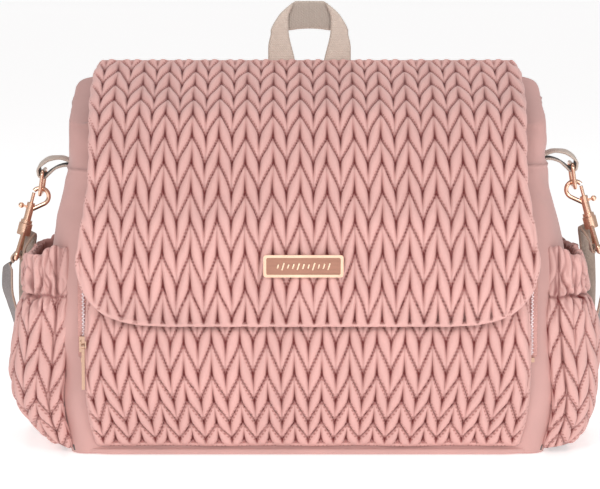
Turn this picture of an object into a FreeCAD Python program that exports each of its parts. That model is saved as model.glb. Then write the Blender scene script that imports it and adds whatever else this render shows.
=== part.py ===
import FreeCAD
import Part
import Sketcher
import math
import operator
import os

# Flap diaper bag, closed and standing.  +Z is up, -Y is the front, the origin is
# the middle of the base on the ground.  Every size below sits in the sheet "dims".
DIMENSIONS = (
    ("half_width", 179.0),
    ("body_height", 262.0),
    ("front_depth", 66.0),
    ("rear_depth", 62.0),
    ("corner_radius", 34.0),
    ("fabric", 2.0),
    ("foam", 3.8),
    ("lining_ply", 1.0),
    ("layer_gap", 0.2),
    ("mouth_half", 152.0),
    ("mouth_drop", 36.0),
    ("mouth_lip", 7.5),
    ("piping_radius", 2.0),
    ("pocket_half", 151.5),
    ("pocket_top", 150.0),
    ("pocket_round", 24.0),
    ("tape_width", 8.0),
    ("coil_width", 2.2),
    ("zip_foot", 70.0),
    ("slider_lift", 4.0),
    ("magnet_radius", 9.0),
    ("magnet_height", 112.0),
    ("bulge", 32.5),
    ("side_pocket_wall", 5.0),
    ("side_pocket_half", 58.0),
    ("side_pocket_round", 24.0),
    ("elastic_height", 108.0),
    ("ruffle_height", 137.0),
    ("flap_half_top", 154.5),
    ("flap_half", 158.5),
    ("flap_bottom", 93.5),
    ("flap_thickness", 7.0),
    ("label_width", 55.0),
    ("label_height", 15.4),
    ("label_x", -3.0),
    ("label_z", 136.3),
    ("webbing_width", 20.0),
    ("webbing_ply", 1.8),
    ("handle_x", 1.6),
    ("handle_half", 30.4),
    ("handle_rise", 50.5),
    ("handle_gap", 10.0),
    ("strap_y", 20.0),
    ("ring_reach", 11.2),
    ("ring_drop", 69.8),
    ("ring_wire", 1.3),
    ("ring_room", 3.0),
    ("ring_height", 17.0),
    ("ring_tilt", 7.7),
    ("right_lift", 5.0),
    ("hook_tilt", 15.0),
    ("hook_wire", 1.6),
    ("hook_loop", 6.0),
    ("hook_loop_x", 5.2),
    ("hook_loop_z", 47.2),
    ("eye_wire", 1.5),
    ("eye_room", 3.0),
    ("collar_radius", 5.0),
    ("barrel_radius", 2.9),
    ("bolt_radius", 1.25),
    ("strap_ground", 0.6),
    ("adjuster_x", -60.0),
)
FREE = 0.3
PIECES = {}
vector = FreeCAD.Vector
AXES = {"x": vector(1, 0, 0), "y": vector(0, 1, 0), "z": vector(0, 0, 1)}
PLANES = {
    "XY": FreeCAD.Rotation(),
    "XZ": FreeCAD.Rotation(vector(1, 0, 0), 90),
    "YZ": FreeCAD.Rotation(vector(1, 1, 1), 120),
}
SIGNS = {"+": operator.add, "-": operator.sub, "*": operator.mul, "/": operator.truediv}

doc = FreeCAD.newDocument("diaper_bag")
sheet = doc.addObject("Spreadsheet::Sheet", "dims")


class Dim:
    """A size held both as a number and as the sheet expression that gives it."""

    def __init__(self, text, value):
        self.text = text
        self.value = value

    def __add__(self, other):
        return joined(self, "+", other)

    def __radd__(self, other):
        return joined(other, "+", self)

    def __sub__(self, other):
        return joined(self, "-", other)

    def __rsub__(self, other):
        return joined(other, "-", self)

    def __mul__(self, other):
        return joined(self, "*", other)

    def __rmul__(self, other):
        return joined(other, "*", self)

    def __truediv__(self, other):
        return joined(self, "/", other)

    def __neg__(self):
        return joined(0, "-", self)


def as_dim(size):
    """Wrap a plain number so that it can stand beside sheet sizes."""
    if isinstance(size, Dim):
        return size
    text = "%.4f" % size
    if size < 0:
        text = "(%s)" % text
    return Dim(text, float(size))


def joined(first, sign, second):
    """Join two sizes with one of the four arithmetic signs."""
    left = as_dim(first)
    right = as_dim(second)
    text = "(%s %s %s)" % (left.text, sign, right.text)
    return Dim(text, SIGNS[sign](left.value, right.value))


def sine(angle):
    return Dim("sin(%s)" % angle.text, math.sin(math.radians(angle.value)))


def cosine(angle):
    return Dim("cos(%s)" % angle.text, math.cos(math.radians(angle.value)))


def slope_of(rise, run):
    ratio = rise / run
    return Dim("atan(%s)" % ratio.text, math.degrees(math.atan(ratio.value)))


def fill_sheet():
    """Write each size as plain text with its alias and hand the sizes back."""
    sizes = {}
    for row, (alias, value) in enumerate(DIMENSIONS, start=1):
        sheet.set("A%d" % row, alias.replace("_", " "))
        sheet.set("B%d" % row, "%g" % value)
        sheet.setAlias("B%d" % row, alias)
        sizes[alias] = Dim("dims.%s" % alias, value)
    doc.recompute()
    return sizes


D = fill_sheet()
W = D["half_width"]
H = D["body_height"]
FRONT = D["front_depth"]
REAR = D["rear_depth"]


def bind(thing, field, size):
    """Set a field to a size and tie it to the sheet."""
    thing.setExpression(field, as_dim(size).text)


def ordered(first, second):
    pair = (as_dim(first), as_dim(second))
    return sorted(pair, key=lambda size: size.value)


def keep(name, shape):
    """Mark a finished solid as one exported piece."""
    shape.Label = name
    PIECES[name] = shape
    return shape


# ---------------------------------------------------------------- drawing helpers
def outline(name, plane, points, closed=True):
    """A sketch of straight lines whose corners are tied to the sheet."""
    sketch = doc.addObject("Sketcher::SketchObject", name)
    sketch.Placement = FreeCAD.Placement(vector(), PLANES[plane])
    corners = [(as_dim(a), as_dim(b)) for a, b in points]
    spots = [vector(a.value, b.value, 0) for a, b in corners]
    count = len(spots)
    lines = count if closed else count - 1
    for index in range(lines):
        line = Part.LineSegment(spots[index], spots[(index + 1) % count])
        sketch.addGeometry(line, False)
    joints = lines if closed else lines - 1
    for index in range(joints):
        meeting = Sketcher.Constraint("Coincident", index, 2, (index + 1) % lines, 1)
        sketch.addConstraint(meeting)
    for index, corner in enumerate(corners):
        line, end = (index, 1) if index < lines else (lines - 1, 2)
        fix_point(sketch, line, end, corner)
    return sketch


def fix_point(sketch, item, end, corner):
    """Tie one sketch point to a pair of sizes."""
    for kind, size in zip(("DistanceX", "DistanceY"), corner):
        size = as_dim(size)
        rule = Sketcher.Constraint(kind, -1, 1, item, end, size.value)
        number = sketch.addConstraint(rule)
        sketch.setExpression("Constraints[%d]" % number, size.text)


def fix_radius(sketch, item, size):
    size = as_dim(size)
    number = sketch.addConstraint(Sketcher.Constraint("Radius", item, size.value))
    sketch.setExpression("Constraints[%d]" % number, size.text)


def offset(name, source, size, arcs=False, open_strip=False):
    """An outline moved outwards by a size, with sharp or round corners."""
    moved = doc.addObject("Part::Offset2D", name)
    moved.Source = source
    moved.Mode = "Skin" if open_strip else "Pipe"
    moved.Fill = open_strip
    moved.Join = 0 if arcs else 2
    moved.Value = as_dim(size).value
    bind(moved, "Value", size)
    return moved


def extrude(name, base, axis, start, end):
    """Sweep an outline straight along an axis between two stations."""
    solid = doc.addObject("Part::Extrusion", name)
    solid.Base = base
    solid.DirMode = "Custom"
    solid.Dir = AXES[axis]
    solid.Solid = True
    low, high = ordered(start, end)
    solid.LengthFwd = high.value
    solid.LengthRev = -low.value
    bind(solid, "LengthFwd", high)
    bind(solid, "LengthRev", -low)
    return solid


def prism(name, plane, points, axis, start, end):
    return extrude(name, outline(name + "_line", plane, points), axis, start, end)


def box(name, xs, ys, zs):
    """A box given by its low and high station on each axis."""
    solid = doc.addObject("Part::Box", name)
    fields = zip(("x", "y", "z"), ("Length", "Width", "Height"), (xs, ys, zs))
    for axis, field, span in fields:
        low, high = ordered(*span)
        bind(solid, "Placement.Base." + axis, low)
        setattr(solid, field, (high - low).value)
        bind(solid, field, high - low)
    return solid


def rod(name, axis, radius, start, end, centre):
    """A round bar along an axis; centre gives the other two coordinates."""
    solid = doc.addObject("Part::Cylinder", name)
    turns = {
        "x": FreeCAD.Rotation(vector(0, 1, 0), 90),
        "y": FreeCAD.Rotation(vector(-1, 0, 0), 90),
        "z": FreeCAD.Rotation(),
    }
    low, high = ordered(start, end)
    others = [name_ for name_ in "xyz" if name_ != axis]
    solid.Placement = FreeCAD.Placement(vector(), turns[axis])
    solid.Radius = as_dim(radius).value
    solid.Height = (high - low).value
    bind(solid, "Radius", radius)
    bind(solid, "Height", high - low)
    bind(solid, "Placement.Base." + axis, low)
    for other, size in zip(others, centre):
        bind(solid, "Placement.Base." + other, size)
    return solid


def cut(name, base, tool):
    result = doc.addObject("Part::Cut", name)
    result.Base = base
    result.Tool = tool
    return result


def common(name, *shapes):
    result = doc.addObject("Part::MultiCommon", name)
    result.Shapes = list(shapes)
    return result


def fuse(name, *shapes):
    result = doc.addObject("Part::MultiFuse", name)
    result.Shapes = list(shapes)
    return result


def tilt(solid, side, angle, x, y, z):
    """Lean a solid inwards at the top about the Y axis and put it in place."""
    turn = FreeCAD.Rotation(vector(0, -side, 0), angle.value)
    solid.Placement = FreeCAD.Placement(vector(), turn)
    bind(solid, "Placement.Base.x", x)
    bind(solid, "Placement.Base.y", y)
    bind(solid, "Placement.Base.z", z)
    bind(solid, "Placement.Rotation.Angle", angle)
    return solid


def origin_plane(body, role):
    return [item for item in body.Origin.OriginFeatures if item.Role == role][0]


def path_sketch(body, role):
    path = body.newObject("Sketcher::SketchObject", body.Name + "_path")
    path.AttachmentSupport = [(origin_plane(body, role), "")]
    path.MapMode = "FlatFace"
    return path


def sweep(body, path, edges, radius):
    """Run a round wire along the edges of a path sketch."""
    doc.recompute()
    face = body.newObject("Sketcher::SketchObject", body.Name + "_round")
    face.AttachmentSupport = [(path, "Edge1")]
    face.MapMode = "NormalToEdge"
    face.addGeometry(Part.Circle(vector(), vector(0, 0, 1), radius.value), False)
    face.addConstraint(Sketcher.Constraint("Coincident", 0, 3, -1, 1))
    fix_radius(face, 0, radius)
    doc.recompute()
    pipe = body.newObject("PartDesign::AdditivePipe", body.Name + "_pipe")
    pipe.Profile = face
    pipe.Spine = (path, ["Edge%d" % (index + 1) for index in range(edges)])
    return body


def belt(name, role, centres, bend, radius):
    """A closed round wire that runs around equal circles, given anticlockwise."""
    body = doc.addObject("PartDesign::Body", name)
    path = path_sketch(body, role)
    bend = as_dim(bend)
    corners = [(as_dim(a), as_dim(b)) for a, b in centres]
    spots = [vector(a.value, b.value, 0) for a, b in corners]
    count = len(spots)
    normals = []
    for index in range(count):
        along = spots[(index + 1) % count] - spots[index]
        along.normalize()
        normals.append(vector(along.y, -along.x, 0))
    for index in range(count):
        after = (index + 1) % count
        shift = normals[index] * bend.value
        path.addGeometry(Part.LineSegment(spots[index] + shift, spots[after] + shift), False)
        start = math.atan2(normals[index].y, normals[index].x)
        end = math.atan2(normals[after].y, normals[after].x)
        if end < start:
            end += 2 * math.pi
        circle = Part.Circle(spots[after], vector(0, 0, 1), bend.value)
        path.addGeometry(Part.ArcOfCircle(circle, start, end), False)
    for index in range(2 * count):
        meeting = Sketcher.Constraint("Tangent", index, 2, (index + 1) % (2 * count), 1)
        path.addConstraint(meeting)
    for index in range(count):
        arc = 2 * index + 1
        fix_point(path, arc, 3, corners[(index + 1) % count])
        fix_radius(path, arc, bend)
    return sweep(body, path, 2 * count, radius)


# ---------------------------------------------------------------- the bag body
def body_lines():
    """Side view, front view and rounded plan that bound the standing body."""
    side = outline("body_side_line", "YZ", (
        (4 - FRONT, 0), (REAR, 0), (REAR, H), (52 - FRONT, H - D["mouth_drop"]),
        (18 - FRONT, H - 72), (-FRONT, H - 112), (-FRONT, 40)))
    high = H + 20
    front = outline("body_front_line", "XZ", (
        (13 - W, 0), (W - 13, 0), (W - 2, 50), (W, H - 112), (W - 17, H), (W - 17, high),
        (17 - W, high), (17 - W, H), (-W, H - 112), (2 - W, 50)))
    turn = D["corner_radius"]
    plan = outline("body_plan_core", "XY", (
        (turn - W, turn - FRONT), (W - turn, turn - FRONT),
        (W - turn, REAR - turn), (turn - W, REAR - turn)))
    return side, front, plan


BODY_LINES = body_lines()


def block(name, inset):
    """The body volume drawn in by an inset on every face."""
    side, front, plan = BODY_LINES
    if inset is not None:
        side = offset(name + "_side_line", side, -inset)
        front = offset(name + "_front_line", front, -inset)
    rounding = D["corner_radius"] if inset is None else D["corner_radius"] - inset
    plan = offset(name + "_plan_line", plan, rounding, arcs=True)
    return common(
        name,
        extrude(name + "_side", side, "x", -W - 20, W + 20),
        extrude(name + "_front", front, "y", -FRONT - 20, REAR + 20),
        extrude(name + "_plan", plan, "z", -20, H + 60))


MOUTH_Y = 52 - FRONT
MOUTH_Z = H - D["mouth_drop"]
MOUTH_RUN = REAR - MOUTH_Y
MOUTH_SLOPE = slope_of(D["mouth_drop"], MOUTH_RUN)
MOUTH_LENGTH = MOUTH_RUN / cosine(MOUTH_SLOPE)


def sloped_box(name, half, along, above):
    """A box laid on the sloping mouth plane, measured from its front edge."""
    solid = box(name, (-half, half), (0, along[1] - along[0]), (0, above[1] - above[0]))
    solid.Placement = FreeCAD.Placement(
        vector(), FreeCAD.Rotation(vector(1, 0, 0), MOUTH_SLOPE.value))
    down = sine(MOUTH_SLOPE)
    flat = cosine(MOUTH_SLOPE)
    bind(solid, "Placement.Base.x", -half)
    bind(solid, "Placement.Base.y", MOUTH_Y + along[0] * flat - above[0] * down)
    bind(solid, "Placement.Base.z", MOUTH_Z + along[0] * down + above[0] * flat)
    bind(solid, "Placement.Rotation.Angle", MOUTH_SLOPE)
    return solid


def shell(name, outer, inner, mouth):
    hollow = cut(name + "_hollow", block(name + "_outer", outer), block(name + "_inner", inner))
    return cut(name, hollow, mouth)


def body_layers():
    """Outer fabric, padding and lining, each split into its sewn pieces."""
    lip = D["mouth_lip"]
    mouth = sloped_box(
        "mouth_opening", D["mouth_half"], (lip, MOUTH_LENGTH - lip), (as_dim(-16), as_dim(16)))
    far = W + 60
    high = H + 60
    fabric = D["fabric"]
    pad_start = fabric + D["layer_gap"]
    pad_end = pad_start + D["foam"]
    lining_start = pad_end + D["layer_gap"]
    outer = shell("outer", None, fabric, mouth)
    foam = shell("padding", pad_start, pad_end, mouth)
    lining = shell("lining", lining_start, lining_start + D["lining_ply"], mouth)
    keep("lining", lining)
    seam_front = D["corner_radius"] - FRONT - 4
    seam_rear = REAR - D["corner_radius"] + 6
    inside = W - 21
    ground = (as_dim(-5), fabric)
    wall = (fabric + FREE, high)
    front_region = fuse(
        "front_region",
        box("front_region_low", (-far, far), (-far, seam_front), wall),
        box("front_region_top", (-inside, inside), (seam_front - 1, 0), wall))
    rear_region = fuse(
        "rear_region",
        box("rear_region_low", (-far, far), (seam_rear, far), wall),
        box("rear_region_top", (-inside, inside), (FREE, seam_rear + 1), wall))
    flat = box("base_region", (-far, far), (-far, far), ground)
    keep("base_panel", common("base_panel", outer, flat))
    keep("front_panel", common("front_panel", outer, front_region))
    keep("back_panel", common("back_panel", outer, rear_region))
    for side, word in ((-1, "left"), (1, "right")):
        region = box(
            word + "_gusset_region", (side * (inside + FREE), side * far),
            (seam_front + FREE, seam_rear - FREE), wall)
        keep(word + "_gusset", common(word + "_gusset", outer, region))
    pad_wall = (pad_end + FREE, high)
    pieces = (
        ("base_board", (-far, far), (as_dim(-5), pad_end)),
        ("front_padding", (-far, 0), pad_wall),
        ("back_padding", (FREE, far), pad_wall))
    for name, ys, zs in pieces:
        region = box(name + "_region", (-far, far), ys, zs)
        keep(name, common(name, foam, region))
    edge = (as_dim(FREE), as_dim(FREE + 1))
    front_edge = sloped_box("mouth_binding_front", D["mouth_half"], (as_dim(0.5), lip), edge)
    rear_edge = sloped_box(
        "mouth_binding_rear", D["mouth_half"],
        (MOUTH_LENGTH - lip, MOUTH_LENGTH - lip / 2), edge)
    keep("mouth_binding_front", front_edge)
    keep("mouth_binding_rear", rear_edge)
    hinge = box(
        "flap_hinge_strip", (-D["mouth_half"], D["mouth_half"]),
        (REAR - 3, REAR - 0.7), (H + FREE, H + 11.2 - D["flap_thickness"]))
    keep("flap_hinge_strip", hinge)


def base_piping():
    """Corded edge that runs once around the foot of the bag."""
    radius = D["piping_radius"]
    bend = 8
    out = radius + 0.3
    x = W - 12.5 + out - bend
    y_front = 3.7 - FRONT - out + bend
    y_rear = REAR + out - bend
    cord = belt(
        "base_piping", "XY_Plane",
        ((-x, y_front), (x, y_front), (x, y_rear), (-x, y_rear)), bend, radius)
    bind(cord, "Placement.Base.z", radius + 0.6)
    keep("base_piping", cord)


# ---------------------------------------------------------------- front pocket
def front_pocket():
    """Padded zipped pocket on the front with its magnet, zip and pull."""
    face = -FRONT
    half = D["pocket_half"]
    top = D["pocket_top"]
    turn = D["pocket_round"]
    core = outline("pocket_core", "XZ", (
        (turn - half, turn + 6), (half - turn, turn + 6),
        (half - turn, top - turn), (turn - half, top - turn)))
    face_line = offset("pocket_face_line", core, turn, arcs=True)
    face_block = extrude("pocket_face", face_line, "y", face - 40, face + 20)
    belly = prism("pocket_belly", "YZ", (
        (face + 2.8, 6), (face - 0.4, 40), (face - 0.4, top), (face - 8.5, top),
        (face - 8.5, 98), (face - 11.3, 86), (face - 11.5, 68), (face - 9.5, 40),
        (face - 4, 14), (face, 6)), "x", -half - 10, half + 10)
    seat = rod(
        "pocket_magnet_seat", "y", D["magnet_radius"] + 0.2,
        face - 12, face - 5.5, (0, D["magnet_height"]))
    pad = common("front_pocket_pad", face_block, belly)
    keep("front_pocket", cut("front_pocket", pad, seat))
    keep("pocket_magnet", rod(
        "pocket_magnet", "y", D["magnet_radius"], face - 8.3, face - 5.8,
        (0, D["magnet_height"])))


def zip_path(name):
    """Line of the zip: up one side of the pocket, across and down the other."""
    x = D["pocket_half"] + D["tape_width"] / 2 + 0.2
    top = D["pocket_top"] + 4
    foot = D["zip_foot"]
    return outline(name, "XZ", (
        (-x, foot), (-x, top - 18), (4 - x, top - 8), (12 - x, top - 2), (20 - x, top),
        (x - 20, top), (x - 12, top - 2), (x - 4, top - 8), (x, top - 18), (x, foot)),
        closed=False)


def zip_strip(name, width, near, far):
    """A flat strip centred on the zip line."""
    left = offset(name + "_inner", zip_path(name + "_line_a"), width / 2, open_strip=True)
    right = offset(name + "_outer", zip_path(name + "_line_b"), -width / 2, open_strip=True)
    half_a = extrude(name + "_half_a", left, "y", near, far)
    half_b = extrude(name + "_half_b", right, "y", near, far)
    joined_strip = fuse(name, half_a, half_b)
    joined_strip.Refine = True
    return keep(name, joined_strip)


def front_zip():
    face = -FRONT
    x = -(D["pocket_half"] + D["tape_width"] / 2 + 0.2)
    foot = D["zip_foot"]
    zip_strip("front_zip_tape", D["tape_width"], face - 1.3, face - 0.4)
    zip_strip("front_zip_coil", D["coil_width"], face - 3.1, face - 1.6)
    for side, word in ((1, "left"), (-1, "right")):
        stop = box(
            word + "_zip_stop", (side * x - 1.9, side * x + 1.9),
            (face - 3.4, face - 1.6), (foot - 3.5, foot - 0.3))
        keep(word + "_zip_stop", stop)
    low = foot + D["slider_lift"]
    shoe = box("slider_shoe", (x - 2.8, x + 2.8), (face - 5.6, face - 1.6), (low, low + 11))
    groove = box("slider_groove", (x - 1.4, x + 1.4), (face - 3.5, face), (low - 1, low + 12))
    ear_a = box("slider_ear_a", (x - 2.3, x - 1.4), (face - 8.2, face - 5), (low + 3, low + 8))
    ear_b = box("slider_ear_b", (x + 1.4, x + 2.3), (face - 8.2, face - 5), (low + 3, low + 8))
    pin = rod("slider_pin", "x", 0.7, x - 1.8, x + 1.8, (face - 7.3, low + 4.2))
    slider = cut("front_zip_slider", fuse("slider_solid", shoe, ear_a, ear_b, pin), groove)
    keep("front_zip_slider", slider)
    eye = rod("pull_eye", "x", 1.6, x - 1.1, x + 1.1, (face - 7.3, low + 4.2))
    bore = rod("pull_bore", "x", 1.0, x - 3, x + 3, (face - 7.3, low + 4.2))
    bar = box("pull_bar", (x - 1.1, x + 1.1), (face - 7.9, face - 6.7), (low - 26, low + 3.4))
    keep("front_zip_pull", cut("front_zip_pull", fuse("pull_solid", eye, bar), bore))


# ---------------------------------------------------------------- side pockets
def side_pocket(side, word):
    """Gathered open pocket on one end: wall, elastic and ruffle above it."""
    out = D["bulge"]
    line = outline(word + "_pocket_line", "XZ", [(side * a, b) for a, b in (
        (W - 17, 7), (W + 12, 16), (W + 27, 38), (W + out, 68), (W + out - 1.5, 92),
        (W + 22, D["elastic_height"] + 4), (W + 19, D["elastic_height"] + 16),
        (W + 19, D["ruffle_height"] + 40), (W - 17, D["ruffle_height"] + 40))])
    turn = D["side_pocket_round"]
    half = D["side_pocket_half"]
    plan = outline(word + "_pocket_core", "XY", [(side * a, b) for a, b in (
        (W - 40, turn - half - 2), (W + out + 1 - turn, turn - half - 2),
        (W + out + 1 - turn, half - turn - 2), (W - 40, half - turn - 2))])

    def bag(name, inset):
        front = line
        if inset is not None:
            front = offset(name + "_front_line", line, -inset)
        rounding = turn if inset is None else turn - inset
        flat = offset(name + "_plan_line", plan, rounding, arcs=True)
        return common(
            name,
            extrude(name + "_front", front, "y", -half - 20, half + 20),
            extrude(name + "_plan", flat, "z", -5, D["ruffle_height"] + 60))

    def ring(name, outer, inner, low, high):
        hollow = cut(name + "_hollow", bag(name + "_outer", outer), bag(name + "_inner", inner))
        free = cut(name + "_free", hollow, block(name + "_body", as_dim(-FREE)))
        band = box(name + "_band", (side * (W - 40), side * (W + 80)), (-half - 30, half + 30),
                   (low, high))
        return keep(name, common(name, free, band))

    step = D["elastic_height"]
    wall = D["side_pocket_wall"]
    ring(word + "_side_pocket", None, wall, 0, step)
    ring(word + "_pocket_elastic", as_dim(1), wall - 1, step + FREE, step + 6)
    ring(word + "_pocket_ruffle", as_dim(0.5), wall - 1.5, step + 6 + FREE, D["ruffle_height"])


# ---------------------------------------------------------------- flap
def flap_turns(thick):
    """Side-view corners of the flap surface lying a thickness under its face."""
    return (
        (48 - FRONT + 0.5414 * thick, H - 21 - 0.8657 * thick),
        (6 - FRONT + 0.7914 * thick, H - 61 - 0.627 * thick),
        (-FRONT - 18 + 0.987 * thick, H - 102 - 0.294 * thick),
        (-FRONT - 20 + thick, H - 143 - 0.024 * thick),
        (-FRONT - 20 + thick, as_dim(20)))


def flap_part(name, top, near, far):
    """One layer of the flap above or in front of the shoulder fold."""
    upper = flap_turns(near)
    lower = flap_turns(far)
    if top:
        rear_near = H + 8.5 if near.value == 0 else H + 13.5 - near
        rear_far = H + 13.5 - far
        points = [
            (REAR - 1, rear_near), (upper[0][0] + 0.14, upper[0][1] + 0.05),
            (lower[0][0] + 0.14, lower[0][1] + 0.05), (REAR - 1, rear_far)]
    else:
        first = (upper[0][0] - 0.11, upper[0][1] - 0.1)
        last = (lower[0][0] - 0.11, lower[0][1] - 0.1)
        points = [first] + list(upper[1:]) + list(reversed(lower[1:])) + [last]
    half = D["flap_half"]
    shoulder = D["flap_half_top"]
    low = D["flap_bottom"]
    right = (
        (half - 58, low), (half - 40, low + 1), (half - 18, low + 5.5), (half - 5, low + 13.5),
        (half, low + 25), (half, H - 120), (shoulder, H + 30))
    face = list(right) + [(-a, b) for a, b in reversed(right)]
    band = prism(name + "_band", "YZ", points, "x", -half - 5, half + 5)
    plate = prism(name + "_face", "XZ", face, "y", -FRONT - 60, REAR + 20)
    return common(name, band, plate)


def flap():
    thick = D["flap_thickness"]
    skin = (as_dim(0), thick)
    back = (thick + D["layer_gap"], thick + D["layer_gap"] + 0.8)
    keep("flap_top", flap_part("flap_top", True, *skin))
    keep("flap_top_lining", flap_part("flap_top_lining", True, *back))
    keep("flap_front_lining", flap_part("flap_front_lining", False, *back))
    inner = -FRONT - 20 + thick
    spot = (0, D["magnet_height"])
    seat = rod("flap_magnet_seat", "y", D["magnet_radius"] + 0.2, inner - 2.8, inner + 3, spot)
    keep("flap_front", cut("flap_front", flap_part("flap_front_pad", False, *skin), seat))
    keep("flap_magnet", rod(
        "flap_magnet", "y", D["magnet_radius"], inner - 2.6, inner - 0.1, spot))


def label():
    """Framed metal label with a plain recessed inlay."""
    x = D["label_x"]
    z = D["label_z"]
    across = D["label_width"] / 2
    tall = D["label_height"] / 2
    back = -FRONT - 20 - D["layer_gap"]

    def plate(name, inset, turn, near, far):
        core = outline(name + "_core", "XZ", (
            (x - across + inset + turn, z - tall + inset + turn),
            (x + across - inset - turn, z - tall + inset + turn),
            (x + across - inset - turn, z + tall - inset - turn),
            (x - across + inset + turn, z + tall - inset - turn)))
        return extrude(name, offset(name + "_line", core, turn, arcs=True), "y", near, far)

    frame = plate("label_block", 0, 2.0, back - 2.4, back)
    recess = plate("label_recess", 1.9, 1.2, back - 3, back - 1.3)
    keep("label_plate", cut("label_plate", frame, recess))
    keep("label_inlay", plate("label_inlay", 2.05, 1.1, back - 2.1, back - 1.4))


# ---------------------------------------------------------------- handle and straps
def handle():
    """Grab handle of folded webbing with its two stitched feet."""
    x = D["handle_x"]
    half = D["handle_half"]
    gap = D["handle_gap"]
    high = H + D["handle_rise"]
    near = REAR + 0.4
    far = REAR + 3.2
    right = (
        (gap, H + 1), (half, H + 1), (half - 1, high - 27), (half - 8, high - 10),
        (half - 17, high - 2), (10, high))
    inner = ((7, high - 21), (gap, high - 27))
    points = [(x + a, b) for a, b in right]
    points += [(x - a, b) for a, b in reversed(right)]
    points += [(x - a, b) for a, b in reversed(inner)]
    points += [(x + a, b) for a, b in inner]
    keep("carry_handle", prism("carry_handle", "XZ", points, "y", near, far))
    for side, word in ((-1, "left"), (1, "right")):
        foot = box(
            word + "_handle_foot", (x + side * gap, x + side * half),
            (near, near + 2.4), (H - 30, H + 0.6))
        keep(word + "_handle_foot", foot)


def lift_of(side):
    return D["right_lift"] if side > 0 else as_dim(0)


def ring_bar(side):
    """World X and Z of the ring bar held by the webbing tab."""
    return side * (W + D["ring_reach"]), H - D["ring_drop"] + lift_of(side)


def eye_place(side):
    """World X and Z of the eye bar that the shoulder strap loops around."""
    lean = D["ring_tilt"]
    x, z = ring_bar(side)
    x = x + side * D["ring_height"] * sine(lean)
    z = z - D["ring_height"] * cosine(lean)
    seat = D["hook_loop_z"] + 2.3
    inward = D["hook_loop_x"]
    hook = D["hook_tilt"]
    x = x + side * (seat * sine(hook) + inward * cosine(hook))
    z = z - seat * cosine(hook) + inward * sine(hook)
    return x, z


def tab_and_ring(side, word):
    """Webbing tab sewn to the end panel and the ring that hangs in it."""
    y = D["strap_y"]
    half = D["webbing_width"] / 2
    bar_x, bar_z = ring_bar(side)
    lift = lift_of(side)
    start = side * (W - 6.1) + side * lift * -0.14
    strip = prism(word + "_tab_strip", "XZ", (
        (start, H - 61.5 + lift), (start, H - 67 + lift),
        (bar_x - side * 0.8, bar_z - 3), (bar_x + side * 0.8, bar_z + 3)),
        "y", y - half, y + half)
    curl = rod(word + "_tab_curl", "y", 3.3, y - half, y + half, (bar_x, bar_z))
    bore = rod(
        word + "_tab_bore", "y", D["ring_wire"] + 0.35, y - half - 1, y + half + 1,
        (bar_x, bar_z))
    keep(word + "_ring_tab", cut(word + "_ring_tab", fuse(word + "_tab_solid", strip, curl), bore))
    bend = 3
    a = half + D["ring_room"] - bend
    b = D["ring_height"] / 2 - bend
    wire = belt(
        word + "_ring", "YZ_Plane", ((-a, -b), (a, -b), (a, b), (-a, b)), bend, D["ring_wire"])
    lean = D["ring_tilt"]
    mid = D["ring_height"] / 2
    tilt(wire, side, lean, bar_x + side * mid * sine(lean), y, bar_z - mid * cosine(lean))
    keep(word + "_ring", wire)


def hook_arm(side, word):
    """Round arm that rises from the barrel and turns over the ring."""
    body = doc.addObject("PartDesign::Body", word + "_hook_arm")
    path = path_sketch(body, "XZ_Plane")
    turn = D["hook_loop"]
    x = -side * D["hook_loop_x"]
    z = D["hook_loop_z"]
    low = -50.0
    high = 152.0
    if side > 0:
        low, high = 180.0 - high, 180.0 - low
    near, tip = (low, high) if side < 0 else (high, low)
    first = vector(-side * 2.0, 36.7, 0)
    centre = vector(x.value, z.value, 0)
    reach = vector(math.cos(math.radians(near)), math.sin(math.radians(near)), 0)
    path.addGeometry(Part.LineSegment(first, centre + reach * turn.value), False)
    circle = Part.Circle(centre, vector(0, 0, 1), turn.value)
    arc = Part.ArcOfCircle(circle, math.radians(low), math.radians(high))
    path.addGeometry(arc, False)
    start_end, tip_end = (1, 2) if side < 0 else (2, 1)
    path.addConstraint(Sketcher.Constraint("Tangent", 0, 2, 1, start_end))
    fix_point(path, 0, 1, (-side * 2.0, 36.7))
    fix_point(path, 1, 3, (x, z))
    fix_radius(path, 1, turn)
    tip_z = z + turn * math.sin(math.radians(tip))
    rule = Sketcher.Constraint("DistanceY", -1, 1, 1, tip_end, tip_z.value)
    number = path.addConstraint(rule)
    path.setExpression("Constraints[%d]" % number, tip_z.text)
    return sweep(body, path, 2, D["hook_wire"])


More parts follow.
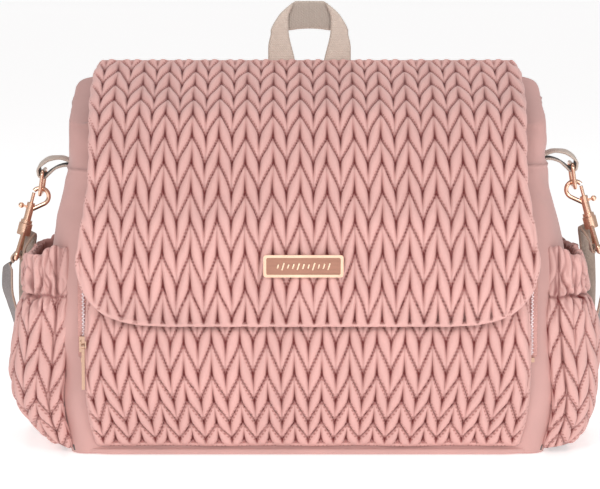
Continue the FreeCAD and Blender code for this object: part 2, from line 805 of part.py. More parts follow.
def snap_hook(side, word):
    """Swivel snap: eye with collar, hook with barrel and sprung bolt."""
    x, z = eye_place(side)
    y = D["strap_y"]
    lean = D["hook_tilt"]
    wire = D["eye_wire"]
    bend = 3
    a = D["webbing_width"] / 2 + D["eye_room"] - bend
    loop = belt(
        word + "_eye_loop", "YZ_Plane",
        ((-a, bend), (a, bend), (2.0, 16.0), (-2.0, 16.0)), bend, wire)
    axis = (0, 0)
    collar = rod(word + "_eye_collar", "z", D["collar_radius"], 17, 25.5, axis)
    well = fuse(
        word + "_eye_well",
        rod(word + "_eye_neck", "z", 2.1, 19.5, 27, axis),
        rod(word + "_eye_room", "z", 3.2, 18.2, 21.1, axis))
    eye = cut(word + "_swivel_eye", fuse(word + "_eye_solid", loop, collar), well)
    keep(word + "_swivel_eye", tilt(eye, side, lean, x, y, z))
    solid = fuse(
        word + "_hook_solid",
        rod(word + "_hook_head", "z", 2.9, 18.5, 20.8, axis),
        rod(word + "_hook_post", "z", 1.8, 19.5, 27, axis),
        rod(word + "_hook_flange", "z", D["barrel_radius"] + 1.3, 25.8, 28, axis),
        rod(word + "_hook_barrel", "z", D["barrel_radius"], 26.5, 41, axis),
        hook_arm(side, word))
    space = fuse(
        word + "_hook_space",
        rod(word + "_hook_bore", "z", D["bolt_radius"] + 0.3, 28, 48.9, axis),
        box(word + "_hook_slot", (0, side * 8), (-1.3, 1.3), (29.5, 39.3)))
    hook = cut(word + "_hook", solid, space)
    keep(word + "_hook", tilt(hook, side, lean, x, y, z))
    ball = doc.addObject("Part::Sphere", word + "_bolt_ball")
    ball.Radius = 2.1
    ball.Placement = FreeCAD.Placement(vector(), FreeCAD.Rotation(vector(0, 0, 1), 90))
    bind(ball, "Placement.Base.x", side * 6.6)
    bind(ball, "Placement.Base.z", 37.5)
    bolt = fuse(
        word + "_bolt",
        rod(word + "_bolt_rod", "z", D["bolt_radius"], 33.6, 48.6, axis),
        rod(word + "_bolt_arm", "x", 0.95, side * 0.5, side * 5.8, (0, 37.5)),
        ball)
    keep(word + "_bolt", tilt(bolt, side, lean, x, y, z))


def shoulder_strap():
    """Long strap: down each end, round the back corners and behind the bag."""
    ply = D["webbing_ply"]
    wide = D["webbing_width"]
    ground = D["strap_ground"]
    top = ground + wide
    mid = D["strap_y"]
    start = mid - wide / 2
    out = W + D["bulge"] + 2.2
    back = REAR + 15
    parts = []
    for side, word in ((-1, "left"), (1, "right")):
        eye_x, eye_z = eye_place(side)
        band = prism(word + "_strap_band", "YZ", (
            (start, eye_z + 1), (start, 98), (start + 13, 55), (start + 25, 10),
            (start + 30, ground), (start + 46, ground), (start + 46, top),
            (start + 40, top + 3), (start + 32, 60), (start + wide, 100),
            (start + wide, eye_z + 1)), "x", side * out, side * (out + ply))
        curl = rod(
            word + "_strap_curl", "y", D["eye_wire"] + 2.8, start, start + wide, (eye_x, eye_z))
        bore = rod(
            word + "_strap_bore", "y", D["eye_wire"] + 0.4, start - 1, start + wide + 1,
            (eye_x, eye_z))
        parts.append(cut(word + "_strap_loop", fuse(word + "_strap_end", band, curl), bore))
    path = outline("strap_back_path", "XY", (
        (-out, start + 40), (-out, start + 44), (4 - out, back - 11), (14 - out, back - 3),
        (28 - out, back), (out - 28, back), (out - 14, back - 3), (out - 4, back - 11),
        (out, start + 44), (out, start + 40)), closed=False)
    run = offset("strap_back_line", path, -ply, open_strip=True)
    parts.append(extrude("strap_back_run", run, "z", ground, top))
    keep("shoulder_strap", fuse("shoulder_strap", *parts))
    plate = back + ply + FREE
    x = D["adjuster_x"]
    low = ground - FREE
    high = top + FREE
    frame = box("adjuster_block", (x - 15, x + 15), (plate, plate + 2), (low, high + 2.4))
    windows = fuse(
        "adjuster_windows",
        box("adjuster_window_a", (x - 12, x - 2), (plate - 1, plate + 3), (low + 2.6, high - 0.2)),
        box("adjuster_window_b", (x + 2, x + 12), (plate - 1, plate + 3), (low + 2.6, high - 0.2)))
    keep("strap_adjuster", cut("strap_adjuster", frame, windows))
    tail_y = plate + 2 + FREE
    tail = box("strap_tail", (x - 40, out - 64), (tail_y, tail_y + ply), (ground, top))
    keep("strap_tail", tail)


def build():
    body_layers()
    base_piping()
    front_pocket()
    front_zip()
    flap()
    label()
    handle()
    for side, word in ((-1, "left"), (1, "right")):
        side_pocket(side, word)
        tab_and_ring(side, word)
        snap_hook(side, word)
    shoulder_strap()
    doc.recompute()


def check_and_export():
    """Stop on any failed object, then write each piece to its own file."""
    for item in doc.Objects:
        if "Invalid" in item.State or "Error" in item.State:
            raise RuntimeError("failed: %s %s" % (item.Name, item.State))
    os.makedirs("parts", exist_ok=True)
    for name, piece in PIECES.items():
        shape = piece.Shape
        if shape.isNull() or not shape.isValid():
            raise RuntimeError("bad shape: " + name)
        if len(shape.Solids) != 1:
            raise RuntimeError("%s has %d solids" % (name, len(shape.Solids)))
        shape.exportStep("parts/%s.step" % name)


build()
check_and_export()
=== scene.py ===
import math
from types import SimpleNamespace

import bpy
import numpy as np
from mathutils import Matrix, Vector, kdtree


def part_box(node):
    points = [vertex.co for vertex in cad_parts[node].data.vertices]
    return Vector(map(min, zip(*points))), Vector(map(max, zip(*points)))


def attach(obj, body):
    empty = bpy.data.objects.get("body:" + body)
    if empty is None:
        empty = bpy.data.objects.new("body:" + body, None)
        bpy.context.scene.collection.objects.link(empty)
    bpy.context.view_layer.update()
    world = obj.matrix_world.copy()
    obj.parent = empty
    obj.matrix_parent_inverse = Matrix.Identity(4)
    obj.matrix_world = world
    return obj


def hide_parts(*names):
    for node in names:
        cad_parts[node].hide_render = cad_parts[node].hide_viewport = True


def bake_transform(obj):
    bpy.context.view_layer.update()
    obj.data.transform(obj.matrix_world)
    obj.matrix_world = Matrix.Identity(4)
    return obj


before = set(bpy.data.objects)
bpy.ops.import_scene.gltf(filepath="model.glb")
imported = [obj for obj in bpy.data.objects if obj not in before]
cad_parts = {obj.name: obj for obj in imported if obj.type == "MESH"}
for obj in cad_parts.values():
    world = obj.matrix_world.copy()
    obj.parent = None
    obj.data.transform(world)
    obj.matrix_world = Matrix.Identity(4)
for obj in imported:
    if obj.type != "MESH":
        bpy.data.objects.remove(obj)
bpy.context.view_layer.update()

bl_info = {
    "name": "Quilted flap diaper bag",
    "version": (1, 0, 0),
    "blender": (4, 5, 0),
    "location": "View3D > Sidebar > Bag",
    "description": "Cloth, webbing and hardware of a quilted flap diaper bag",
    "category": "Add Mesh",
}

MM = 0.001
# Distance to a seam given to cloth that has none near it.
NO_SEAM = 9.0

# Side view of the flap's outer face as (depth, height), from the back hinge down.
FLAP_LINE = (
    (61, 270.5), (43.4, 266), (21.4, 257.6), (-0.5, 248.7), (-21.8, 238.6), (-39.6, 223.1),
    (-55.6, 205.9), (-68.4, 186.1), (-80.3, 165.7), (-84.5, 142.3), (-86, 119), (-86, 93.5))
# Half width of the flap against the distance left to its bottom edge.
FLAP_HALF = (
    (0, 97), (1.1, 116), (4.9, 132.6), (9, 141.5), (15, 148.4), (22, 153.6), (31, 157.4),
    (46, 159.3), (66, 156.4), (112, 152), (150, 153.2), (200, 155), (262, 154))
# Half width of the body against height.
BODY_HALF = ((0, 166), (50, 177), (134, 180.5), (199, 170.5), (230, 170), (262, 169))
# Side view of the body's front and rear as (depth, height), and the radius of its
# corners against the share of the way up.
BODY_FRONT = ((-62, 0.6), (-66, 40), (-66, 150), (-48, 190), (-14, 226))
BODY_REAR = ((62, 0.6), (62, 262))
BODY_CORNER = ((0, 12), (0.1, 22), (0.25, 32), (0.4, 34), (0.78, 30), (0.93, 18), (1, 12))
# Sideways shift of the flap's chevrons and the height of one of their rows.
FLAP_SHIFT = 14.9
FLAP_ROW = 23.3
# Side view of the front pocket from its top down, and its half width against height.
POCKET_FACE = (
    (-74.5, 150), (-74.5, 98), (-77.3, 86), (-77.5, 68), (-75.5, 40), (-70, 14), (-66, 6))
POCKET_HALF = (
    (0, 147.5), (8, 148.5), (25, 152.5), (50, 155), (80, 155.4), (110, 153.5), (150, 151))
# Reach of each side pocket against height, where it meets the body, and the heights
# of its quilted rows.
SIDE_OUT = {
    -1: ((4, 177), (7, 184), (12, 190.5), (22, 199.5), (38, 207), (60, 211.5), (80, 211),
         (94, 208), (104, 203), (111, 197.5), (118, 199.5), (128, 200), (139.5, 198)),
    1: ((4, 189), (7, 193), (12, 197), (22, 201.5), (38, 205), (60, 207.5), (80, 207.5),
        (94, 205), (104, 200.5), (111, 195), (118, 196.5), (128, 197), (139.5, 195))}
SIDE_IN = (
    (4, 165), (15, 168), (26, 171), (39, 172), (60, 169.5), (80, 167.5), (100, 165.8), (140, 165))
SIDE_ROWS = {
    -1: (148, 125, 102.7, 80.3, 60, 39, 26.4, 14, 2), 1: (153, 131, 109, 87, 66, 44, 28, 15, 2)}

# Lens in millimetres, tilt in degrees, metres from the point looked at, and that point.
CAMERA_LENS = 160.1
CAMERA_TILT = 7
CAMERA_DISTANCE = 1.914
CAMERA_TARGET = (-0.00536, 0, 0.1405)
# Name, place, size and power of each soft lamp.
LAMPS = (
    ("key", (-0.9, -1.9, 1.1), (0.8, 0.7), 15.5),
    ("fill", (1.2, -1.8, 0.8), (0.8, 0.8), 16.0),
    ("top", (0.0, 0.5, 2.2), (1.4, 1.0), 8.0))


# ---------------------------------------------------------------- sizes and colours
def tone(red, green, blue):
    """A screen colour from 0 to 255 as the linear colour the shader takes."""
    shares = [part / 255 for part in (red, green, blue)]
    linear = [s / 12.92 if s <= 0.04045 else ((s + 0.055) / 1.055) ** 2.4 for s in shares]
    return (*linear, 1.0)


def colour_setting(name, description, default):
    return bpy.props.FloatVectorProperty(
        name=name, description=description, default=default, subtype="COLOR",
        size=4, min=0, max=1)


def length_setting(name, description, default):
    return bpy.props.FloatProperty(
        name=name, description=description, default=default, unit="LENGTH", precision=4)


class BagSizes(bpy.types.PropertyGroup):
    """Sizes of the quilting and the webbing."""

    column: length_setting("Column", "Width of one slanting run of quilting", 0.00945)
    puff: length_setting("Puff", "Height of a quilted tube over its seams", 0.0050)
    rise: bpy.props.FloatProperty(
        name="Rise", description="Height of a chevron in rows", default=1.04)
    thickness: length_setting("Flap thickness", "Thickness of the padded flap", 0.007)
    grain: length_setting("Mesh step", "Spacing of the points on quilted cloth", 0.00079)
    webbing: length_setting("Webbing width", "Width of the handle and strap", 0.020)
    ply: length_setting("Webbing thickness", "Thickness of one layer of webbing", 0.0018)
    tooth: length_setting("Zip tooth pitch", "Spacing of the zip's teeth", 0.0013)


class BagColours(bpy.types.PropertyGroup):
    """Colours of the cloth, webbing and metal."""

    quilt: colour_setting("Quilt", "Quilted cloth", tone(218, 170, 163))
    # Painted shade: colour laid into the cloth where the quilting seams sink, standing in for the
    # shade there.
    crease: colour_setting("Crease", "Cloth deep in the quilting seams", tone(104, 22, 21))
    thread: colour_setting("Thread", "Sewing thread in the quilting seams", tone(150, 82, 76))
    panel: colour_setting("Panel", "Plain cloth of the body", tone(200, 156, 150))
    lining: colour_setting("Lining", "Cloth inside the bag and under the flap", tone(196, 188, 184))
    handle: colour_setting("Handle", "Face of the handle webbing", tone(207, 190, 177))
    strap: colour_setting("Strap", "Face of the shoulder strap", tone(136, 125, 123))
    selvedge: colour_setting("Selvedge", "Woven edge of the strap", tone(205, 176, 156))
    metal: colour_setting("Hardware", "Rose gold of rings and snaps", tone(240, 198, 172))
    label: colour_setting("Label", "Brushed face of the label", tone(172, 126, 108))
    zip_tape: colour_setting("Zip tape", "Woven tape of the front zip", tone(212, 158, 150))
    zip_tooth: colour_setting("Zip teeth", "Moulded teeth of the front zip", tone(244, 228, 230))
    floor: colour_setting("Floor", "Studio floor", tone(250, 249, 249))


# ---------------------------------------------------------------- lines and grids
def curve(knots, values, at):
    """A smooth line through the values that doesn't swing past them."""
    knots = np.asarray(knots, float)
    values = np.asarray(values, float)
    gap = np.diff(knots)
    slope = np.diff(values) / gap
    lean = np.empty_like(values)
    product = slope[:-1] * slope[1:]
    total = slope[:-1] + slope[1:]
    safe = np.where(np.abs(total) < 1e-9, 1.0, total)
    lean[1:-1] = np.where(product > 0, 2 * product / safe, 0)
    lean[0] = slope[0]
    lean[-1] = slope[-1]
    at = np.clip(at, knots[0], knots[-1])
    i = np.clip(np.searchsorted(knots, at, "right") - 1, 0, len(gap) - 1)
    t = (at - knots[i]) / gap[i]
    rest = 1 - t
    return (
        values[i] * (1 + 2 * t) * rest**2 + values[i + 1] * t**2 * (3 - 2 * t)
        + gap[i] * (lean[i] * t * rest**2 - lean[i + 1] * t**2 * rest))


def table(pairs, at):
    """Read a two-column table of key and value as a smooth line."""
    keys, values = zip(*pairs)
    return curve(keys, values, at)


def run_of(points):
    """Distance along a line of points."""
    steps = np.linalg.norm(np.diff(np.asarray(points, float), axis=0), axis=1)
    return np.concatenate([[0.0], np.cumsum(steps)])


def along(points, at):
    """Points at given distances along a smooth line."""
    points = np.asarray(points, float)
    run = run_of(points)
    return np.stack([curve(run, column, at) for column in points.T], -1)


def ease(value, low, high):
    """Smooth step from 0 at low to 1 at high."""
    t = np.clip((value - low) / (high - low), 0, 1)
    return t * t * (3 - 2 * t)


def ripple(a, b, size, seed):
    """Soft uneven waves of about one, the same at every run."""
    total = 0
    for k in range(5):
        turn = seed * 1.7 + k * 2.399
        grow = 1 + 0.37 * k
        total = total + np.sin(
            (a * math.cos(turn) + b * math.sin(turn)) * grow * 6.283 / size + seed + 1.3 * k)
    return total / 2.6


def grid_faces(rows, columns, wrap=False, first=0, flip=False):
    """Quads of a grid of points, with the columns joined round if asked."""
    index = np.arange(rows * columns).reshape(rows, columns) + first
    if wrap:
        index = np.hstack([index, index[:, :1]])
    quads = np.stack([index[:-1, :-1], index[:-1, 1:], index[1:, 1:], index[1:, :-1]], -1)
    quads = quads.reshape(-1, 4)
    return (quads[:, ::-1] if flip else quads).tolist()


def closed_pad(face, back):
    """Join two grids of the same size into one closed skin."""
    rows, columns = face.shape[:2]
    size = rows * columns
    index = np.arange(size).reshape(rows, columns)
    rim = np.concatenate([
        index[0, :-1], index[:-1, -1], index[-1, :0:-1], index[:0:-1, 0]])
    after = np.roll(rim, -1)
    walls = np.stack([after, rim, rim + size, after + size], -1).tolist()
    points = np.concatenate([face.reshape(-1, 3), back.reshape(-1, 3)])
    faces = grid_faces(rows, columns) + grid_faces(rows, columns, first=size, flip=True)
    return points, faces + walls


def outward(grid):
    """Unit normals of a grid of points, on the side its quads face."""
    down = np.gradient(grid, axis=0)
    across = np.gradient(grid, axis=1)
    normal = np.cross(across, down)
    return normal / np.maximum(np.linalg.norm(normal, axis=-1, keepdims=True), 1e-9)


def add_piece(name, points, faces, finish, body=None, fields=None, stands_for=()):
    """Make a mesh from points in millimetres and hang it on a body."""
    data = bpy.data.meshes.new(name)
    data.from_pydata((np.asarray(points, float) * MM).tolist(), [], faces)
    data.polygons.foreach_set("use_smooth", [True] * len(data.polygons))
    for field, values in (fields or {}).items():
        store = data.attributes.new(field, "FLOAT", "POINT")
        store.data.foreach_set("value", np.asarray(values, np.float32).ravel())
    data.materials.append(finish)
    data.update()
    item = bpy.data.objects.new(name, data)
    bpy.context.scene.collection.objects.link(item)
    if body:
        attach(item, body)
    if stands_for:
        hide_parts(*stands_for)
    return item


def twice(values, filler=0.0):
    """A field for a closed pad: its face's values, and a filler on its back."""
    return np.concatenate([values.ravel(), np.full(values.size, filler)])


def seamless(points, run=0.0):
    """Fields of plain cloth that has no quilting."""
    zero = np.zeros(len(points))
    return {"crease": zero, "groove": zero + NO_SEAM, "run": zero + run}


def laid(across, line):
    """Points of a cloth at each place across it, down a line of (depth, height)."""
    columns = across.shape[1]
    return np.stack([
        across, np.repeat(line[:, :1], columns, 1), np.repeat(line[:, 1:], columns, 1)], -1)


def capped(rings, bottom, top):
    """Join rings of points into one skin, closed by a fan to a point at each end."""
    number, count = rings.shape[:2]
    faces = grid_faces(number, count, wrap=True)
    low = number * count
    last = low - count
    for i in range(count):
        after = (i + 1) % count
        faces.append([low, after, i])
        faces.append([low + 1, last + i, last + after])
    return np.concatenate([rings.reshape(-1, 3), [bottom, top]]), faces


def ribbon(points, across, width, thick):
    """A flat band with rounded edges along a line, lying along 'across'."""
    points = np.asarray(points, float)
    across = np.asarray(across, float)
    across = across / np.linalg.norm(across, axis=1, keepdims=True)
    ahead = np.gradient(points, axis=0)
    up = np.cross(ahead, across)
    up = up / np.linalg.norm(up, axis=1, keepdims=True)
    half = width / 2
    rise = thick / 2
    edge = rise * 0.9
    top = [(x, rise) for x in np.linspace(edge - half, half - edge, 9)]
    loop = top + [(half - edge * 0.3, rise * 0.7), (half, 0), (half - edge * 0.3, -rise * 0.7)]
    loop += [(-x, -y) for x, y in loop]
    spots = np.array([
        points + across * x + up * y for x, y in loop]).transpose(1, 0, 2)
    rows, columns = spots.shape[:2]
    faces = grid_faces(rows, columns, wrap=True, flip=True)
    faces += [list(range(columns)), list(range(rows * columns - 1, (rows - 1) * columns - 1, -1))]
    fields = {
        "run": np.repeat(run_of(points), columns),
        "across": np.tile([x for x, y in loop], rows),
        "half": np.full(rows * columns, half),
        "side": np.tile([y / rise for x, y in loop], rows)}
    return spots.reshape(-1, 3), faces, fields


def joined(parts):
    """Put several meshes with the same fields together."""
    points, faces, fields = [], [], {}
    count = 0
    for spots, quads, extra in parts:
        points.append(np.asarray(spots, float))
        faces += [[i + count for i in face] for face in quads]
        for key, values in extra.items():
            fields.setdefault(key, []).append(np.asarray(values, float).ravel())
        count += len(spots)
    return np.concatenate(points), faces, {k: np.concatenate(v) for k, v in fields.items()}


def tube(points, radius, sides=12):
    """A round closed cord along a closed line."""
    points = np.asarray(points, float)
    ahead = np.roll(points, -1, 0) - np.roll(points, 1, 0)
    ahead = ahead / np.linalg.norm(ahead, axis=1, keepdims=True)
    up = np.tile([0.0, 0.0, 1.0], (len(points), 1))
    out = np.cross(ahead, up)
    turn = np.linspace(0, 2 * math.pi, sides, endpoint=False)
    spots = (
        points[:, None] + radius * (
            out[:, None] * np.cos(turn)[None, :, None] + up[:, None] * np.sin(turn)[None, :, None]))
    rows = len(points)
    index = np.arange(rows * sides).reshape(rows, sides)
    index = np.vstack([index, index[:1]])
    index = np.hstack([index, index[:, :1]])
    quads = np.stack([index[:-1, :-1], index[:-1, 1:], index[1:, 1:], index[1:, :-1]], -1)
    return spots.reshape(-1, 3), quads.reshape(-1, 4).tolist()


# ---------------------------------------------------------------- quilting
def chevrons(column, rise, across, rows, pitch, seed=0.0):
    """Height, painted crease shade, and seam distance of zigzag quilting at each point.

    across is in millimetres from a line where the chevrons point down, and
    rows counts seams along the cloth.
    """
    wander = 0.35 * ripple(across, rows * pitch, 61, 2.0 + seed)
    u = (across + wander) / column
    t = 1 - np.abs(u % 2 - 1)
    bend = t + 0.02 * np.sin(2 * math.pi * t)
    place = rows + 0.035 * ripple(across, rows * pitch, 47, 5.0 + seed) + rise * bend
    q = place % 1
    pad = np.floor(place) * 7.31 + np.floor(u) * 3.17
    body = np.sin(math.pi * np.clip(q, 0, 1)) ** 0.5
    near_v = t * column
    near_top = (1 - t) * column
    dent_v = (0.3 + 0.62 * (1 - q) ** 1.3) * np.exp(-((near_v / 1.0) ** 2))
    dent_top = (0.3 + 0.62 * q**1.3) * np.exp(-((near_top / 1.0) ** 2))
    soft_v = 0.16 * np.exp(-((near_v / 2.8) ** 2))
    soft_top = 0.16 * np.exp(-((near_top / 2.8) ** 2))
    height = body * (1 - dent_v) * (1 - dent_top) * (1 - soft_v - soft_top)
    height = height * (0.95 + 0.05 * np.sin(pad))
    groove = np.minimum(q, 1 - q) * pitch * 0.37
    # The second value is painted shade, darkest where the quilting sinks lowest.
    return height, np.clip(1 - height / 0.56, 0, 1) ** 1.15, groove


def edge_distance(across, depth, half, down):
    """Distance of each point to the cloth's rim, all in its flat plane."""
    rim = dense(np.concatenate([
        np.stack([half, down], -1), np.stack([-half[::-1], down[::-1]], -1)]))
    tree = kdtree.KDTree(len(rim))
    for number, (a, b) in enumerate(rim):
        tree.insert((a, b, 0), number)
    tree.balance()
    flat = np.stack([across.ravel(), depth.ravel()], -1)
    found = [tree.find((a, b, 0))[2] for a, b in flat]
    return np.array(found).reshape(across.shape)


def dense(points, step=0.5):
    """Fill in a closed outline so that its points lie close together."""
    points = np.vstack([points, points[:1]])
    run = run_of(points)
    at = np.arange(0, run[-1], step)
    return np.stack([np.interp(at, run, column) for column in points.T], -1)


def rounded(distance, radius):
    """How far a rolled edge has dropped, from 1 at the rim to 0 inside."""
    share = 1 - np.clip(distance / radius, 0, 1)
    return 1 - np.sqrt(np.clip(1 - share**2, 0, 1))


def flap_rows(length):
    """Row positions along the flap, closer together round the bottom corners."""
    corner = 30
    plain = np.arange(0, length - corner, 1.05)
    turn = np.linspace(0, math.pi / 2, 46)
    return np.concatenate([plain, length - corner + corner * np.sin(turn)])


def build_flap(sizes, finish, under, web):
    """The quilted flap in one cloth that bends at the shoulder, and its lining."""
    length = run_of(FLAP_LINE)[-1]
    down = flap_rows(length)
    line = along(FLAP_LINE, down)
    half = table(FLAP_HALF, length - down)
    rows = (down - (length - 3.6)) / FLAP_ROW
    half = half + 0.9 * np.abs(np.sin(math.pi * (rows + 0.2))) * ease(length - down, 14, 40)
    half = half - 5.5 * rounded(down, 24)
    columns = int(2 * 158 / (sizes.grain / MM))
    across = np.linspace(-1, 1, columns)[None, :] * half[:, None]
    depth = np.repeat(down[:, None], columns, 1)
    base = laid(across, line)
    normal = -outward(base)
    distance = edge_distance(across, depth, half, down)
    column = sizes.column / MM
    height, dark, groove = chevrons(
        column, sizes.rise, across + FLAP_SHIFT, np.repeat(rows[:, None], columns, 1), FLAP_ROW)
    low = length - depth
    flat = ease(np.minimum(distance, np.where(depth < 12, 9, distance)), 0.6, 4.2)
    height = 0.78 + (height - 0.78) * flat
    dark = dark * flat
    crest = np.abs(np.sin(math.pi * (across + FLAP_SHIFT) / column)) ** 0.7 * ease(-depth, -12, -1)
    near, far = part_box("flap_magnet")
    spot = (near + far) / 2 / MM
    reach = np.hypot(across - spot.x, base[..., 2] - spot.z) - (far.x - near.x) / 2 / MM
    puff = sizes.puff / MM * (0.74 + 0.26 * ease(reach, 1, 8))
    thick = sizes.thickness / MM
    sag = 0.8 * ripple(across, depth, 150, 3.0) * ease(low, 0, 30) * ease(depth, 4, 50)
    roll = rounded(distance, 3.4)
    lift = -puff * (1 - height) + 1.7 * crest + sag
    face = base + normal * (lift * (1 - 0.6 * roll) - 3.1 * roll)[..., None]
    back = base + normal * (3.1 * roll - thick)[..., None]
    points, faces = closed_pad(face, back)
    # Painted shade: the quilting seams are darkened, and the flap's back carries a flat 0.2 of that
    # shade.
    flap = add_piece(
        "flap_quilt", points, faces, finish,
        fields={
            "crease": twice(dark, 0.2), "groove": twice(groove, NO_SEAM), "run": twice(depth)})
    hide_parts("flap_top", "flap_front")
    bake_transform(flap)
    step = slice(None, None, 5)
    thin = base[step, step]
    thin_normal = normal[step, step]
    shrink = np.array([0.985, 1, 1])
    offset = thick + 0.25
    sheet_face = (thin - thin_normal * (offset + 0.8)) * shrink
    sheet_back = (thin - thin_normal * offset) * shrink
    points, faces = closed_pad(sheet_back, sheet_face)
    lining = add_piece("flap_lining", points, faces, under)
    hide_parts("flap_top_lining", "flap_front_lining")
    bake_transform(lining)
    place = np.linspace(-151, 151, 80)
    path = along(((63.2, 246), (63.4, 258), (62.6, 265), (61.4, 269.4)), np.linspace(0, 23.6, 24))
    outer = laid(np.repeat(place[None, :], 24, 0), path)
    inner = outer - np.array([0, 1.2, 0])
    points, faces = closed_pad(outer[:, ::-1], inner[:, ::-1])
    strip = add_piece("flap_hinge_cloth", points, faces, web, fields=seamless(points))
    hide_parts("flap_hinge_strip")
    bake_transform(strip)


# ---------------------------------------------------------------- body
def rounded_ring(half, near, far, corner, count):
    """Plan of one level of the body: a rectangle with round corners."""
    corner = min(corner, (far - near) / 2 - 1)
    spots = []
    centres = (
        (half - corner, near + corner, -90), (half - corner, far - corner, 0),
        (corner - half, far - corner, 90), (corner - half, near + corner, 180))
    for x, y, start in centres:
        for turn in np.radians(np.linspace(start, start + 90, 16)):
            spots.append((x + corner * math.cos(turn), y + corner * math.sin(turn)))
    spots = np.array(spots)
    closed = np.vstack([spots, spots[:1]])
    run = run_of(closed)
    at = np.linspace(0, run[-1], count, endpoint=False)
    return np.stack([np.interp(at, run, column) for column in closed.T], -1)


def shoulder(x, z):
    """How far the top of each end sinks below a straight mouth."""
    return 6.5 * ease(np.abs(x), 142, 160) * ease(z, 216, 258)


def body_wall(levels, inset, count):
    """Rings of points up the body, drawn in by an inset."""
    front_run = run_of(BODY_FRONT)[-1]
    rings = []
    for share in levels:
        y0, z0 = along(BODY_FRONT, share * front_run)
        y1 = BODY_REAR[0][0]
        z1 = BODY_REAR[0][1] + share * (BODY_REAR[1][1] - BODY_REAR[0][1])
        corner = float(table(BODY_CORNER, share)) - inset
        plan = rounded_ring(170 - inset, y0 + inset, y1 - inset, max(corner, 4), count)
        lean = (plan[:, 1] - y0) / (y1 - y0)
        z = z0 + (z1 - z0) * lean
        half = table(BODY_HALF, z)
        x = plan[:, 0] + np.sign(plan[:, 0]) * (half - 170) * ease(np.abs(plan[:, 0]), 60, 136)
        z = z - shoulder(x, z)
        rings.append(np.stack([x, plan[:, 1], z], -1))
    return np.array(rings)


def build_body(cloth, lining_cloth, trim):
    """The standing shell with its seams, the welt round its foot, and the lining."""
    count = 420
    outer = body_wall(np.linspace(0, 1, 150), 0.0, count)
    closed = np.concatenate([outer, outer[:, :1]], 1)
    normal = -outward(closed)[:, :-1]
    x, y, z = outer[..., 0], outer[..., 1], outer[..., 2]
    end = ease(np.abs(x), 120, 150)
    seam = np.exp(-(((z - 198 - 3 * (x > 0)) / 1.1) ** 2)) * end
    side = ease(np.abs(x), 150, 160)
    seam = np.maximum(seam, np.exp(-(((y - 35) / 0.9) ** 2)) * side)
    free = ease(z, 2, 24)
    soft = 1.1 * ripple(x + y, z, 170, 1.0) + 0.4 * ripple(x - y, z * 0.7, 58, 4.0)
    fold = 0.5 * ripple(x * 0.4 + y, z * 1.6 + x * 0.6, 44, 7.0) * ease(z, 120, 210) * end
    front = ease(-y, 56, 62)
    lift = (soft + fold) * free * (1 - 0.85 * front) * ease(-z, -258, -215) - 1.3 * seam
    lift = lift + 1.4 * np.exp(-(((z - 205 - 3 * (x > 0)) / 7) ** 2)) * end
    skin = outer + normal * lift[..., None]
    top = [body_wall([1.0], inset, count)[0] for inset in (0.8, 2.6, 5.0, 5.6)]
    for ring, rise, limit in zip(top, (1.9, 2.8, 1.8, -0.6), (200, 200, 153, 138)):
        fill = 3.2 * np.sin(math.pi * np.clip((ring[:, 1] + 11.5) / 73.5, 0, 1))
        fill = fill * ease(np.abs(ring[:, 0]), 120, 138) * (limit < 200)
        ring[:, 2] += rise + fill + shoulder(ring[:, 0], ring[:, 2])
        ring[:, 0] = np.clip(ring[:, 0], -limit, limit)
        ring[:, 2] -= shoulder(ring[:, 0], ring[:, 2])
    inner = body_wall(np.linspace(1, 0.027, 44), 6.2, count)
    inner[..., 2] = np.maximum(inner[..., 2], 6.1)
    points, faces = capped(
        np.concatenate([skin, np.array(top), inner]), [0, 0, 0.6], [0, 0, 6.1])
    fields = seamless(points)
    # Painted shade along the sewn seams at the body's ends.
    fields["crease"][:seam.size] = (0.55 * seam).ravel()
    shell = add_piece(
        "bag_shell", points, faces, cloth, "bag", fields,
        ("front_panel", "back_panel", "left_gusset", "right_gusset", "base_panel",
         "front_padding", "back_padding"))
    near = body_wall(np.linspace(0.992, 0.032, 60), 6.4, 210)
    far = body_wall(np.linspace(0.992, 0.036, 60), 7.3, 210)
    near[..., 2] = np.maximum(near[..., 2], 6.3)
    far[..., 2] = np.maximum(far[..., 2], 7.2)
    points, faces = capped(np.concatenate([far[::-1], near]), [0, 0, 7.2], [0, 0, 6.3])
    bag = add_piece("bag_lining", points, faces, lining_cloth, "bag",
                    stands_for=("lining",))
    for name, share in (("front", -1), ("rear", 1)):
        rear = share > 0
        y, z = (60.2, 262.6) if rear else (-11.5, 228.8)
        place = np.linspace(-150, 150, 120)
        lean = 0.35 * np.sin(place / 17.0)
        path = np.stack([place, np.full(120, float(y)), z + lean * 0.4], -1)
        wide = 3.0 if rear else 6.0
        points, faces, fields = ribbon(
            path, np.tile([0, 0.9, 0.43], (120, 1)), wide, 1.1)
        fields.update(seamless(points, fields["run"]))
        add_piece("mouth_tape_" + name, points, faces, trim, "bag", fields,
                  ("mouth_binding_" + name,))
    welt = rounded_ring(169.4, -64.6, 64.6, 34, 420)
    line = np.column_stack([welt, np.full(420, 2.7)])
    points, faces = tube(line, 2.0)
    add_piece(
        "base_welt", points, faces, trim, "bag",
        seamless(points, np.repeat(run_of(line), 12)), ("base_piping",))


